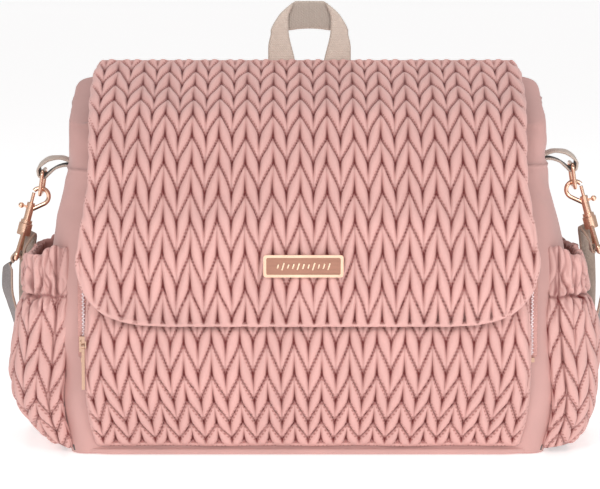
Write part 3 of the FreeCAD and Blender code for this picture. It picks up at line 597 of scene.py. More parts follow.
# ---------------------------------------------------------------- front pocket and zip
def build_front_pocket(sizes, finish):
    """The quilted pocket on the front of the bag."""
    length = run_of(POCKET_FACE)[-1]
    turn = np.linspace(0, math.pi / 2, 30)
    corner = 24
    down = np.concatenate([
        corner * (1 - np.cos(turn)), np.arange(corner + 1, length - 4.5, 1.05),
        length - 4 + 4 * np.sin(turn[::4])])
    line = along(POCKET_FACE, down)
    reach = np.minimum(down, corner)
    half = table(POCKET_HALF, line[:, 1]) - corner
    half = half + np.sqrt(np.clip(corner**2 - (corner - reach) ** 2, 0, None))
    foot = np.minimum(length - down, 4)
    half = half - 4 + np.sqrt(np.clip(16 - (4 - foot) ** 2, 0, None))
    columns = int(2 * 152 / (sizes.grain / MM))
    across = np.linspace(-1, 1, columns)[None, :] * half[:, None]
    depth = np.repeat(down[:, None], columns, 1)
    base = laid(across, line)
    normal = -outward(base)
    distance = edge_distance(across, depth, half, down)
    heights = np.array([148, 125.6, 103, 80.6, 58.1, 39.4, 23.4, 10.4, -2])
    seam_at = np.interp(-heights, -line[:, 1], down)
    seam_at[-1] = length + 10
    rows = np.interp(depth, seam_at, np.arange(len(heights)))
    pitch = np.interp(depth, seam_at[:-1], np.diff(seam_at))
    fan = across * (1 + 0.075 * ease(-line[:, 1:], -62, -4))
    height, dark, groove = chevrons(
        sizes.column / MM * 1.0127, sizes.rise, fan - 0.25, rows, pitch, 11.0)
    flat = ease(distance, 0.4, 3.4)
    height = 0.7 + (height - 0.7) * flat
    puff = sizes.puff / MM * (0.85 + 0.15 * ease(depth, 60, 110))
    room = np.interp(line[:, 1], [6, 14, 40], [2.6, 5.0, 8.6])[:, None]
    puff = np.minimum(puff, room)
    roll = rounded(distance, 4.5)
    wave = 0.5 * ripple(across, depth, 90, 6.0)
    lift = -puff * (1 - height) + wave
    surface = base + normal * lift[..., None]
    wall = -np.interp(line[:, 1], [6, 40, 150], [62.9, 66.3, 66.4])[:, None]
    face = surface.copy()
    back = base.copy()
    back[..., 1] = wall
    gap = surface[..., 1] - wall
    face[..., 1] = wall + gap * (1 - 0.88 * roll)
    points, faces = closed_pad(face, back)
    # Painted shade: the quilting seams are darkened, and the pocket's back carries a flat 0.2 of that
    # shade.
    pocket = add_piece(
        "front_pocket_quilt", points, faces, finish, "bag",
        {"crease": twice(dark * flat, 0.2), "groove": twice(groove, NO_SEAM),
         "run": twice(depth)}, ("front_pocket",))


def build_front_zip(sizes, tape, teeth):
    """Zip tape and teeth up one side of the pocket, across and down the other."""
    left = [(-155.7, 70), (-155.7, 103), (-155.7, 134), (-152.2, 145), (-144, 152), (-134, 154)]
    line = np.array(left + [(0, 154)] + [(-x, z) for x, z in left[::-1]], float)
    run = run_of(line)
    at = np.linspace(0, run[-1], 300)
    flat = along(line, at)
    path = np.stack([flat[:, 0], np.full(300, -66.85), flat[:, 1]], -1)
    ahead = np.gradient(path, axis=0)
    across = np.cross(ahead, np.array([0.0, 1.0, 0.0]))
    points, faces, fields = ribbon(path, across, 8, 0.9)
    add_piece("front_zip_tape_cloth", points, faces, tape, "bag", fields,
              ("front_zip_tape",))
    pitch = sizes.tooth / MM
    at = np.arange(pitch, run[-1] - pitch, pitch)
    spots = along(line, at)
    ahead = np.gradient(spots, axis=0)
    ahead = ahead / np.linalg.norm(ahead, axis=1, keepdims=True)
    parts = []
    ring = [(-1, -0.6), (-0.6, -1), (0.6, -1), (1, -0.6), (1, 0.6), (0.6, 1), (-0.6, 1), (-1, 0.6)]
    for number, ((x, z), (ax, az)) in enumerate(zip(spots, ahead)):
        side = 1 if number % 2 else -1
        points = []
        for level, grow in ((-67.5, 1.0), (-68.4, 0.95), (-68.9, 0.6)):
            for a, b in ring:
                length = a * 0.56 * grow
                wide = b * 0.85 * grow + side * 0.3
                points.append((x + ax * length - az * wide, level, z + az * length + ax * wide))
        faces = grid_faces(3, 8, wrap=True, flip=True)
        faces += [list(range(8)), list(range(23, 15, -1))]
        parts.append((points, faces, {}))
    points, faces, _ = joined(parts)
    add_piece("front_zip_teeth", points, faces, teeth, "bag",
              stands_for=("front_zip_coil",))


# ---------------------------------------------------------------- side pockets
def pocket_plan(start, reach, count):
    """Plan of a side pocket at one level, from its front seam to its rear one."""
    corner = min(24.0, reach - start - 3.5)
    front, rear = -60.5, 57.0
    spots = [(start - 1, front + 7), (start, front + 2.5), (start + 2, front + 0.6)]
    for x, y, first, last in (
            (reach - corner, front + corner, -90, 0), (reach - corner, rear - corner, 0, 90)):
        for turn in np.radians(np.linspace(first, last, 14)):
            spots.append((x + corner * math.cos(turn), y + corner * math.sin(turn)))
    spots += [(start + 2, rear - 0.6), (start, rear - 2.5), (start - 1, rear - 7)]
    spots = np.array(spots)
    run = run_of(spots)
    at = np.linspace(0, run[-1], count)
    line = np.stack([np.interp(at, run, column) for column in spots.T], -1)
    return line, at


def build_side_pocket(sizes, side, word, finish):
    """Gathered side pocket with an elastic line and a ruffle over it."""
    count = 250
    heights = np.concatenate([np.linspace(4, 104, 98), np.linspace(105, 139.5, 50)])
    rings, runs = [], []
    for z in heights:
        reach = float(table(SIDE_OUT[side], z))
        line, at = pocket_plan(float(table(SIDE_IN, z)), reach, count)
        rings.append(np.column_stack([line, np.full(count, z)]))
        runs.append(at)
    base = np.array(rings)
    run = np.array(runs)
    z = base[..., 2]
    share = run / run[:, -1:]
    normal = outward(base)
    if normal[70, count // 2, 0] < 0:
        normal = -normal
    stretch = share * 188
    levels = np.array(SIDE_ROWS[side], float)
    rows = np.interp(-z, -levels, np.arange(len(levels)))
    pitch = np.interp(-z, -levels[:-1], -np.diff(levels))
    column = sizes.column / MM * 1.1
    first = 15.0 if side < 0 else 15.0 - column
    height, dark, groove = chevrons(column, 1.0, run - first, rows, pitch, 20.0 + side)
    gathers = np.exp(-(((z - 111) / 13) ** 2))
    above = ease(z, 110, 114)
    pleat = np.sin(stretch * 0.78 + 1.8 * ripple(stretch, z, 33, 3 + side))
    fine = np.sin(stretch * 1.55 + 2.2 * ripple(stretch, z, 27, 9 + side))
    puff = 3.9 * (height - 1) * (1 - 0.4 * gathers) * (1 - 0.45 * above)
    seam_line = np.exp(-(((run - 15.0) / 0.8) ** 2))
    plain = 1 - 0.7 * ease(-run, -15.5, -13.5) * ease(z, 112, 116)
    lift = puff * plain
    lift = lift + (1.1 * pleat + 0.5 * fine) * gathers * (1 - above * 0.3) * plain
    lift = lift + (0.9 * pleat * above + 0.5 * fine * above) * plain
    tie = np.exp(-(((z - 111 - 0.8 * np.sin(stretch * 0.3)) / 1.3) ** 2))
    lift = lift - 1.8 * tie - 1.3 * seam_line
    lift = lift + 1.6 * ripple(stretch, z, 95, 13 + side) * ease(z, 12, 40) * (1 - tie)
    lean = ease(z, 126, 139.5)
    top_roll = rounded(139.5 - z, 3.0)
    foot_roll = rounded(z - 4, 4.0)
    hold = ease(run, 3, 9) * ease(run[:, -1:] - run, 3, 9)
    lift = lift * hold - 1.9 * top_roll - 2.0 * foot_roll
    face = base + normal * lift[..., None]
    lip = 1.1 * ripple(stretch, z, 40, 17 + side) + 0.9 * pleat * 0.6
    lip = lip * hold + 7 * (1 - ease(run, 14, 36)) - 2 * ease(share, 0.2, 0.5)
    lip = lip + 9 * ease(share, 0.7, 0.96)
    face[..., 2] += lean * lip
    wall = 4.6
    back = base + normal * (
        -wall + 0.6 * pleat * above + 1.9 * top_roll + 2.0 * foot_roll)[..., None]
    back[..., 2] += lean * lip
    # Painted shade in the elastic gather line, the seam groove and the troughs of the pleats, added to
    # the quilting seam shade.
    dark = np.maximum(dark * (1 - 0.5 * above), np.maximum(0.5 * tie, 0.5 * seam_line))
    dark = np.maximum(dark, 0.45 * np.clip(-pleat, 0, 1) * (gathers * 0.7 + above * 0.6))
    if side < 0:
        face = face * np.array([-1, 1, 1])
        back = back * np.array([-1, 1, 1])
    points, faces = closed_pad(face, back)
    if side > 0:
        faces = [quad[::-1] for quad in faces]
    # The pad's back, which shows inside the pocket's mouth, carries a flat painted shade of 0.25.
    pocket = add_piece(
        word + "_pocket_cloth", points, faces, finish, "bag",
        {"crease": twice(dark, 0.25), "groove": twice(np.where(above > 0.5, NO_SEAM, groove), NO_SEAM),
         "run": twice(z)},
        (word + "_side_pocket", word + "_pocket_elastic", word + "_pocket_ruffle"))


# ---------------------------------------------------------------- webbing
def band_between(knots, count):
    """A line of points and width directions from a short table of each."""
    knots = np.asarray(knots, float)
    run = run_of(knots[:, :3])
    at = np.linspace(0, run[-1], count)
    spots = np.stack([curve(run, knots[:, i], at) for i in range(3)], -1)
    lean = np.stack([curve(run, knots[:, i + 3], at) for i in range(3)], -1)
    return spots, lean


def build_tab(sizes, side, word, webbing):
    """Webbing loop sewn to the end of the bag that carries the ring."""
    lift = 5 if side > 0 else 0
    shape = (
        (166.5, 20, 197.2, 0, 1, 0.0), (172, 20, 199.6, 0, 1, 0.0),
        (178.5, 20, 201.4, 0, 1, 0.0), (185, 19.6, 200.8, 0, 1, 0.05),
        (190.4, 19.3, 198.1, 0, 1, 0.1), (194.0, 19.2, 193.8, 0, 1, 0.1),
        (193.2, 19.2, 189.6, 0, 1, 0.1), (189.4, 19.3, 188.3, 0, 1, 0.1),
        (185.4, 19.5, 191.2, 0, 1, 0.06), (180.5, 20, 194.6, 0, 1, 0.0),
        (174, 20, 196.2, 0, 1, 0.0), (166.5, 20, 195.0, 0, 1, 0.0))
    spots, lean = band_between(shape, 110)
    spots[:, 2] += lift
    spots[:, 0] *= side
    points, faces, fields = ribbon(spots, lean, sizes.webbing / MM, 1.7)
    if side > 0:
        faces = [face[::-1] for face in faces]
    fields["side"] = fields["side"] * side
    add_piece(word + "_tab_webbing", points, faces, webbing, "bag", fields,
              (word + "_ring_tab",))


def folded_half(width, side):
    """One leg of the handle, folded over at forty-five degrees to the middle."""
    middle = 1.6
    leg = 20.2
    fold_z = 299.8
    radius = 1.2
    x0 = middle + side * leg
    end = fold_z + leg + math.pi * radius / math.sqrt(2)
    at = np.linspace(262.4, end, 170)
    place = np.linspace(-width / 2, width / 2, 15)
    grid = np.zeros((170, 15, 2))
    grid[..., 0] = x0 + place[None, :]
    grid[..., 1] = at[:, None]
    n = np.array([side, 1.0]) / math.sqrt(2)
    distance = (grid - np.array([x0, fold_z])) @ n
    turn = np.clip(distance / radius, 0, math.pi)
    over = np.clip(distance - math.pi * radius, 0, None)
    moved = np.where(distance > 0, radius * np.sin(turn) - over, distance)
    flat = grid + n * (moved - distance)[..., None]
    away = (flat[..., 0] - middle) * side
    z = flat[..., 1]
    near = 1 - ease(distance, 0, 5)
    push = 5.4 * (1 - ease(away, 11, 29)) * near * ease(z, 263, 293) * (1 - 0.6 * ease(z, 300, 311))
    pinch = 1.9 * np.exp(-(((z - 289.5) / 6) ** 2)) * ease(away, 20, 30)
    away = away + push - pinch
    z = z - 1.3 * np.clip(away / 14, 0, 1) ** 2 * ease(distance, 3, 8)
    y = 62.3 + np.where(distance > 0, radius * (1 - np.cos(turn)), 0)
    y = y - 0.8 * np.cos(place / width * 3.0)[None, :] * near
    spots = np.stack([middle + side * away, y, z], -1)
    return spots, np.repeat(at[:, None] - 262, 15, 1), np.repeat(place[None, :], 170, 0), turn


def build_handle(sizes, webbing, stitched):
    """Grab handle folded from flat webbing, and its two sewn feet."""
    width = sizes.webbing / MM + 0.3
    left = folded_half(width, -1)
    right = folded_half(width, 1)
    spots, run, place, turn = [
        np.concatenate([a, b[-2::-1, ::-1]]) for a, b in zip(left, right)]
    normal = outward(spots)
    thick = 0.72 * np.sqrt(np.clip(1 - (np.abs(place) / (width / 2)) ** 8, 0.02, 1))
    points, faces = closed_pad(
        spots + normal * thick[..., None], spots - normal * thick[..., None])
    fields = {
        "run": np.tile(run.ravel(), 2), "across": np.tile(place.ravel(), 2),
        "half": np.full(len(points), width / 2),
        "side": np.tile(np.where(turn > 1.6, -1.0, 1.0).ravel(), 2)}
    add_piece("handle_webbing", points, faces, webbing, "handle", fields,
              ("carry_handle",))
    for side, word in ((-1, "left"), (1, "right")):
        x = 1.6 + side * (20.2 + 1.4)
        path = np.stack([
            np.full(30, x), np.linspace(63.8, 63.6, 30), np.linspace(231, 262.2, 30)], -1)
        points, faces, fields = ribbon(path, np.tile([1.0, 0, 0], (30, 1)), width, 1.8)
        add_piece(word + "_handle_foot_webbing", points, faces, stitched, "bag",
                  fields, (word + "_handle_foot",))


def build_strap(sizes, webbing):
    """Shoulder strap: a curl round each eye, down the ends and behind the bag."""
    width = sizes.webbing / MM
    ply = sizes.ply / MM
    parts = []
    ends = {}
    for side in (-1, 1):
        eye_x, eye_y, eye_z = 210.35, 20.0, 128.9 + (5 if side > 0 else 0)
        drop = eye_z - 128.9
        radius = 3.3
        curl = np.array([
            (eye_x + radius * math.cos(turn), eye_y, eye_z + radius * math.sin(turn), 0, 1, 0)
            for turn in np.radians(np.linspace(200, -60, 26))])
        down = [
            (217.4, 20.5, 120 + drop, 0.42, 0.9, 0), (218.0, 22.5, 107 + drop, 0.46, 0.88, 0.05),
            (215.8, 31, 92, 0.42, 0.88, 0.15), (213.4, 41, 76, 0.34, 0.88, 0.28),
            (212.0, 50, 58, 0.2, 0.86, 0.42), (211.6, 58, 40, 0.08, 0.7, 0.68),
            (210.5, 64, 24, 0.02, 0.36, 0.92), (207.5, 70, 14, 0, 0.05, 1),
            (201, 75, 11, 0, 0, 1), (193, 77.4, 10.6, 0, 0, 1), (184, 77.9, 10.6, 0, 0, 1)]
        inner = [
            (204.6, 21.5, 136.5 + drop, 0.1, 0.99, 0), (202.8, 26.5, 143 + drop, 0.26, 0.95, 0.1),
            (202.2, 34, 146 + drop, 0.46, 0.86, 0.1), (203.4, 42, 142 + drop, 0.56, 0.8, 0.1),
            (206.0, 48.5, 126 + drop, 0.56, 0.8, 0.1), (208.2, 51.5, 108, 0.5, 0.82, 0.2),
            (209.6, 54.5, 90, 0.4, 0.86, 0.3), (210.4, 57, 72, 0.3, 0.87, 0.36)]
        outer_band = np.array([(214.3, 20, 125.5 + drop, -0.1, 1, 0)] + down, float)
        inner_band = np.array([(206.2, 20.3, 128.0 + drop, 0, 1, 0)] + inner, float)
        for name, knots, count in (("outer", outer_band, 130), ("inner", inner_band, 70)):
            spots, lean = band_between(knots, count)
            spots[:, 0] *= side
            lean[:, 0] *= side
            if name == "outer":
                ends[side] = spots[-1]
            points, faces, fields = ribbon(spots, lean, width, ply * 0.9)
            if side > 0:
                faces = [face[::-1] for face in faces]
            fields["side"] = np.full(len(points), -1.0 if name == "inner" else 1.0)
            parts.append((points, faces, fields))
        spots = curl[:, :3].copy()
        spots[:, 0] *= side
        points, faces, fields = ribbon(spots, curl[:, 3:], width, ply * 0.9)
        if side < 0:
            faces = [face[::-1] for face in faces]
        fields["side"] = -np.ones(len(points))
        parts.append((points, faces, fields))
    place = np.linspace(-184, 184, 160)
    sag = 0.25 * np.sin(place / 31)
    path = np.stack([place, 77.9 + sag, np.full(160, 10.6)], -1)
    points, faces, fields = ribbon(path, np.tile([0, 0, 1.0], (160, 1)), width, ply * 0.9)
    fields["side"] = np.ones(len(points))
    parts.append((points, faces, fields))
    points, faces, fields = joined(parts)
    add_piece("strap_webbing", points, faces, webbing, "bag", fields,
              ("shoulder_strap",))
    place = np.linspace(-100, 149.7, 130)
    path = np.stack([
        place, 82.3 + 0.12 * np.sin(place / 26) * ease(place, -20, 60), np.full(130, 10.6)], -1)
    points, faces, fields = ribbon(path, np.tile([0, 0, 1.0], (130, 1)), width, ply * 0.9)
    add_piece("strap_tail_webbing", points, faces, webbing, "bag", fields,
              ("strap_tail",))


# ---------------------------------------------------------------- finishes
class Wire:
    """A shader socket that takes part in sums like a number."""

    def __init__(self, finish, socket):
        self.finish = finish
        self.socket = socket

    def sum(self, operation, *values):
        return self.finish.node("Math", {"operation": operation}, dict(enumerate(values)))

    def __add__(self, other):
        return self.sum("ADD", self, other)

    def __radd__(self, other):
        return self.sum("ADD", other, self)

    def __sub__(self, other):
        return self.sum("SUBTRACT", self, other)

    def __rsub__(self, other):
        return self.sum("SUBTRACT", other, self)

    def __mul__(self, other):
        return self.sum("MULTIPLY", self, other)

    def __rmul__(self, other):
        return self.sum("MULTIPLY", other, self)

    def __truediv__(self, other):
        return self.sum("DIVIDE", self, other)

    def __lt__(self, other):
        return self.sum("LESS_THAN", self, other)

    def __gt__(self, other):
        return self.sum("GREATER_THAN", self, other)

    def __mod__(self, other):
        return self.sum("FLOORED_MODULO", self, other)


class Finish:
    """A material being built from shader nodes."""

    def __init__(self, name):
        self.material = bpy.data.materials.new(name)
        self.material.use_nodes = True
        self.tree = self.material.node_tree
        self.tree.nodes.clear()

    def node(self, kind, settings=None, sockets=None, output=0):
        """Add one node, set it, then fill or link its sockets."""
        made = self.tree.nodes.new("ShaderNode" + kind)
        for key, value in (settings or {}).items():
            setattr(made, key, value)
        for place, value in (sockets or {}).items():
            if isinstance(value, Wire):
                self.tree.links.new(value.socket, made.inputs[place])
            else:
                made.inputs[place].default_value = value
        return Wire(self, made.outputs[output]) if len(made.outputs) else None

    def field(self, name):
        return self.node("Attribute", {"attribute_name": name}, output="Fac")

    def spot(self):
        return self.node("TexCoord", output="Object")

    def stretch(self, place, scale):
        return self.node("Mapping", {}, {"Vector": place, "Scale": scale})

    def noise(self, place, scale, detail=3.0, rough=0.5):
        return self.node(
            "TexNoise", {},
            {"Vector": place, "Scale": scale, "Detail": detail, "Roughness": rough})

    def mix(self, share, first, second):
        return self.node(
            "Mix", {"data_type": "RGBA"}, {0: share, 6: first, 7: second}, output=2)

    def span(self, value, low, high, start, end):
        return self.node(
            "MapRange", {}, {"Value": value, "From Min": low, "From Max": high,
                             "To Min": start, "To Max": end})

    def bump(self, height, distance, strength=1.0, before=None):
        sockets = {"Height": height, "Distance": distance, "Strength": strength}
        if before is not None:
            sockets["Normal"] = before
        return self.node("Bump", {}, sockets)

    def surface(self, sockets):
        shader = self.node("BsdfPrincipled", {}, sockets)
        self.node("OutputMaterial", {}, {"Surface": shader})
        return self.material


def shaded(colour, share):
    """A colour made lighter or darker by a share."""
    return tuple(min(1.0, part * share) for part in colour[:3]) + (1.0,)


def quilt_cloth(colours, name, face):
    """Soft woven polyester with painted shade in its seam creases and a line of stitches."""
    f = Finish(name)
    place = f.spot()
    cloud = f.noise(place, 26.0, 4.0)
    grain = f.noise(place, 900.0, 2.0)
    warp = f.node("TexWave", {"bands_direction": "X"}, {"Vector": place, "Scale": 520.0})
    weft = f.node("TexWave", {"bands_direction": "Z"}, {"Vector": place, "Scale": 520.0})
    tint = f.mix(f.span(cloud, 0.35, 0.65, 0.0, 1.0), shaded(face, 0.95), shaded(face, 1.05))
    tint = f.mix(f.span(grain, 0.3, 0.7, 0.0, 0.35), tint, shaded(face, 0.88))
    # Painted shade: the cloth darkens toward the crease colour in sunken seams, gathers and pleat
    # troughs.
    dark = f.span(f.field("crease"), 0.03, 0.7, 0.0, 0.96)
    tint = f.mix(dark, tint, tuple(colours.crease))
    groove = f.field("groove")
    stitch = (groove > 0.45) * (groove < 1.05) * ((f.field("run") / 2.5) % 1.0 < 0.5)
    tint = f.mix(stitch * 0.55, tint, tuple(colours.thread))
    weave = warp * weft
    fuzz = f.noise(place, 240.0, 3.0)
    first = f.bump(weave - stitch * 2.0, 0.00006, 0.6)
    normal = f.bump(fuzz + f.noise(place, 60.0, 3.0) * 1.5, 0.00035, 0.45, first)
    return f.surface({
        "Base Color": tint, "Roughness": f.span(cloud, 0.3, 0.7, 0.52, 0.66),
        "Normal": normal, "Sheen Weight": 0.25, "Sheen Roughness": 0.45,
        "Specular IOR Level": 0.35})


def plain_cloth(name, face):
    """Smooth woven cloth with faint puckers."""
    f = Finish(name)
    place = f.spot()
    cloud = f.noise(place, 14.0, 5.0)
    warp = f.node("TexWave", {"bands_direction": "X"}, {"Vector": place, "Scale": 560.0})
    weft = f.node("TexWave", {"bands_direction": "Z"}, {"Vector": place, "Scale": 560.0})
    tint = f.mix(f.span(cloud, 0.35, 0.65, 0.0, 1.0), shaded(face, 0.94), shaded(face, 1.05))
    # Painted shade: the cloth darkens toward 0.35 of its own colour along sunken seams.
    dark = f.span(f.field("crease"), 0.1, 1.0, 0.0, 0.85)
    tint = f.mix(dark, tint, shaded(face, 0.35))
    pucker = f.noise(f.stretch(place, (1.0, 1.0, 0.6)), 45.0, 4.0)
    first = f.bump(warp * weft, 0.00005, 0.5)
    normal = f.bump(pucker, 0.0012, 0.5, first)
    return f.surface({
        "Base Color": tint, "Roughness": f.span(cloud, 0.3, 0.7, 0.5, 0.62),
        "Normal": normal, "Sheen Weight": 0.2, "Sheen Roughness": 0.4,
        "Specular IOR Level": 0.4})


def webbing_cloth(name, face, edge, reverse, stitches=False):
    """Ribbed webbing with a denser selvedge and a paler reverse."""
    f = Finish(name)
    run = f.field("run")
    across = f.field("across")
    rib = f.node("Math", {"operation": "SINE"}, {0: run * (6.283 / 1.25)})
    wale = f.node("Math", {"operation": "SINE"}, {0: across * (6.283 / 1.9) + run * 2.5})
    place = f.spot()
    grain = f.noise(place, 420.0, 3.0)
    back = f.field("side") < 0.0
    tint = f.mix(back, face, reverse)
    far = f.node("Math", {"operation": "ABSOLUTE"}, {0: across}) / f.field("half")
    tint = f.mix(f.span(far, 0.86, 0.95, 0.0, 1.0), tint, edge)
    tint = f.mix(f.span(grain, 0.3, 0.7, 0.0, 0.3), tint, shaded(face, 0.7))
    tint = f.mix(f.span(rib * wale, -1.0, 0.2, 0.25, 0.0), tint, shaded(face, 0.62))
    height = rib + wale * 0.6 + grain
    if stitches:
        line = f.node("Math", {"operation": "ABSOLUTE"}, {0: far - 0.78})
        mark = (line < 0.05) * ((run / 3.0) % 1.0 < 0.6)
        tint = f.mix(mark * 0.8, tint, shaded(edge, 1.2))
        height = height + mark * 2.0
    normal = f.bump(height, 0.00018, 0.7)
    return f.surface({
        "Base Color": tint, "Roughness": f.span(grain, 0.3, 0.7, 0.5, 0.75),
        "Normal": normal, "Sheen Weight": 0.15, "Sheen Roughness": 0.4})


def cast_metal(name, face, rough=(0.14, 0.3)):
    """Polished plated metal with faint handling marks."""
    f = Finish(name)
    place = f.spot()
    marks = f.noise(place, 180.0, 5.0, 0.6)
    wear = f.noise(place, 35.0, 3.0)
    tint = f.mix(f.span(wear, 0.4, 0.7, 0.0, 1.0), shaded(face, 0.95), shaded(face, 1.08))
    return f.surface({
        "Base Color": tint, "Metallic": 1.0,
        "Roughness": f.span(marks, 0.3, 0.7, rough[0], rough[1]),
        "Normal": f.bump(marks, 0.00004, 0.35)})


def brushed_metal(name, face):
    """Plated metal brushed along its length."""
    f = Finish(name)
    place = f.stretch(f.spot(), (40.0, 900.0, 1800.0))
    lines = f.noise(place, 1.0, 4.0)
    cloud = f.noise(f.spot(), 30.0, 2.0)
    tint = f.mix(f.span(lines, 0.3, 0.7, 0.0, 1.0), shaded(face, 0.88), shaded(face, 1.1))
    tint = f.mix(f.span(cloud, 0.4, 0.7, 0.0, 0.4), tint, shaded(face, 1.25))
    return f.surface({
        "Base Color": tint, "Metallic": 0.85,
        "Roughness": f.span(lines, 0.3, 0.7, 0.3, 0.5),
        "Normal": f.bump(lines, 0.00005, 0.5)})


def moulded(name, face, rough=0.4):
    """Moulded plastic with a fine texture."""
    f = Finish(name)
    place = f.spot()
    grain = f.noise(place, 700.0, 2.0)
    cloud = f.noise(place, 60.0, 2.0)
    tint = f.mix(f.span(cloud, 0.35, 0.65, 0.0, 1.0), shaded(face, 0.95), shaded(face, 1.05))
    return f.surface({
        "Base Color": tint, "Roughness": f.span(grain, 0.3, 0.7, rough, rough + 0.15),
        "Normal": f.bump(grain, 0.00005, 0.4)})


def dress(nodes, finish):
    """Give CAD parts a finish."""
    for name in nodes:
        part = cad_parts[name]
        part.data.materials.clear()
        part.data.materials.append(finish)


# ---------------------------------------------------------------- operators
def settings(context):
    """The scene's sizes, and its colours as plain tuples."""
    group = context.scene.bag_colours
    colours = SimpleNamespace(
        **{key: tuple(getattr(group, key)) for key in group.__annotations__})
    return context.scene.bag_sizes, colours


class BAG_OT_flap(bpy.types.Operator):
    """Build the quilted flap, its lining and the cloth hinge"""

    bl_idname = "bag.flap"
    bl_label = "Flap"

    def execute(self, context):
        sizes, colours = settings(context)
        build_flap(
            sizes,
            quilt_cloth(colours, "Flap quilt cloth", colours.quilt),
            plain_cloth("Flap lining cloth", colours.lining),
            plain_cloth("Hinge cloth", colours.panel))
        return {"FINISHED"}


class BAG_OT_body(bpy.types.Operator):
    """Build the body shell, its lining, the mouth tapes and the base welt"""

    bl_idname = "bag.body"
    bl_label = "Body"

    def execute(self, context):
        colours = settings(context)[1]
        build_body(
            plain_cloth("Body cloth", colours.panel),
            plain_cloth("Body lining cloth", colours.lining),
            plain_cloth("Trim cloth", colours.panel))
        return {"FINISHED"}


class BAG_OT_front_pocket(bpy.types.Operator):
    """Build the quilted front pocket"""

    bl_idname = "bag.front_pocket"
    bl_label = "Front pocket"

    def execute(self, context):
        sizes, colours = settings(context)
        cloth = quilt_cloth(colours, "Front pocket cloth", colours.quilt)
        build_front_pocket(sizes, cloth)
        return {"FINISHED"}


class BAG_OT_front_zip(bpy.types.Operator):
    """Build the zip tape and teeth, and finish the slider, pull and stops"""

    bl_idname = "bag.front_zip"
    bl_label = "Front zip"

    def execute(self, context):
        sizes, colours = settings(context)
        tape = webbing_cloth(
            "Zip tape cloth", colours.zip_tape,
            shaded(colours.zip_tape, 0.9), shaded(colours.zip_tape, 0.9))
        build_front_zip(
            sizes, tape, moulded("Zip teeth plastic", colours.zip_tooth))
        dress(("front_zip_slider", "front_zip_pull", "left_zip_stop", "right_zip_stop"),
              cast_metal("Zip metal", shaded(colours.metal, 0.72)))
        return {"FINISHED"}


class BAG_OT_side_pockets(bpy.types.Operator):
    """Build the gathered pockets on both ends"""

    bl_idname = "bag.side_pockets"
    bl_label = "Side pockets"

    def execute(self, context):
        sizes, colours = settings(context)
        cloth = quilt_cloth(
            colours, "Side pocket cloth", shaded(colours.quilt, 0.96))
        for side, word in ((-1, "left"), (1, "right")):
            build_side_pocket(sizes, side, word, cloth)
        return {"FINISHED"}


class BAG_OT_label(bpy.types.Operator):
    """Finish the metal label and raise a row of plain bars on it"""

    bl_idname = "bag.label"
    bl_label = "Label"

    def execute(self, context):
        colours = settings(context)[1]
        dress(("label_plate",), cast_metal("Label frame metal", shaded(colours.metal, 1.2)))
        dress(("label_inlay",), brushed_metal("Label face metal", colours.label))
        low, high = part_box("label_inlay")
        middle = (low + high) / 2 / MM
        front = low.y / MM
        parts = []
        for number in range(11):
            x = middle.x + (number - 5) * 3.5
            tall = 1.5 + 0.9 * (number % 3 == 1) + 0.3 * (number % 2)
            path = np.stack([
                np.linspace(x - tall * 0.3, x + tall * 0.3, 12),
                np.full(12, front - 0.12),
                middle.z + np.linspace(-tall, tall, 12)], -1)
            points, faces, _ = ribbon(path, np.tile([1.0, 0, -0.3], (12, 1)), 1.1, 0.45)
            parts.append((points, faces, {}))
        points, faces, _ = joined(parts)
        add_piece(
            "label_bars", points, faces,
            cast_metal("Label bar metal", shaded(colours.metal, 1.3)),
            "flap_front")
        return {"FINISHED"}


class BAG_OT_handle(bpy.types.Operator):
    """Build the folded grab handle and its stitched feet"""

    bl_idname = "bag.handle"
    bl_label = "Grab handle"

    def execute(self, context):
        sizes, colours = settings(context)
        face = colours.handle
        edge = shaded(face, 0.9)
        reverse = shaded(face, 0.62)
        build_handle(
            sizes,
            webbing_cloth("Handle webbing", face, edge, reverse),
            webbing_cloth("Stitched webbing", face, edge, face, stitches=True))
        return {"FINISHED"}


class BAG_OT_end_hardware(bpy.types.Operator):
    """Build the webbing tabs, and finish the rings, snaps and eyes"""

    bl_idname = "bag.end_hardware"
    bl_label = "Tabs and snaps"

    def execute(self, context):
        sizes, colours = settings(context)
        face = colours.handle
        webbing = webbing_cloth(
            "Tab webbing", face, shaded(face, 0.95), tone(104, 102, 104))
        metal = cast_metal("Rose gold", colours.metal)
        for side, word in ((-1, "left"), (1, "right")):
            build_tab(sizes, side, word, webbing)
            dress([word + end for end in ("_ring", "_hook", "_bolt", "_swivel_eye")], metal)
        return {"FINISHED"}


class BAG_OT_strap(bpy.types.Operator):
    """Build the shoulder strap and its tail, and finish the adjuster"""

    bl_idname = "bag.strap"
    bl_label = "Shoulder strap"

    def execute(self, context):
        sizes, colours = settings(context)
        # Reverse colour: the webbing's real tan back, darkened to 0.72 as painted shade for the inner
        # ply that runs behind the pocket.
        webbing = webbing_cloth(
            "Strap webbing", colours.strap, colours.selvedge,
            shaded(colours.selvedge, 0.72))
        build_strap(sizes, webbing)
        dress(("strap_adjuster",), cast_metal("Adjuster metal", colours.metal))
        return {"FINISHED"}


class BAG_OT_hidden_parts(bpy.types.Operator):
    """Finish the magnets and the board in the base"""

    bl_idname = "bag.hidden_parts"
    bl_label = "Magnets and board"

    def execute(self, context):
        dress(("flap_magnet", "pocket_magnet"),
              cast_metal("Magnet steel", tone(150, 150, 154), (0.3, 0.45)))
        dress(("base_board",), moulded("Base board", tone(90, 86, 84)))
        return {"FINISHED"}


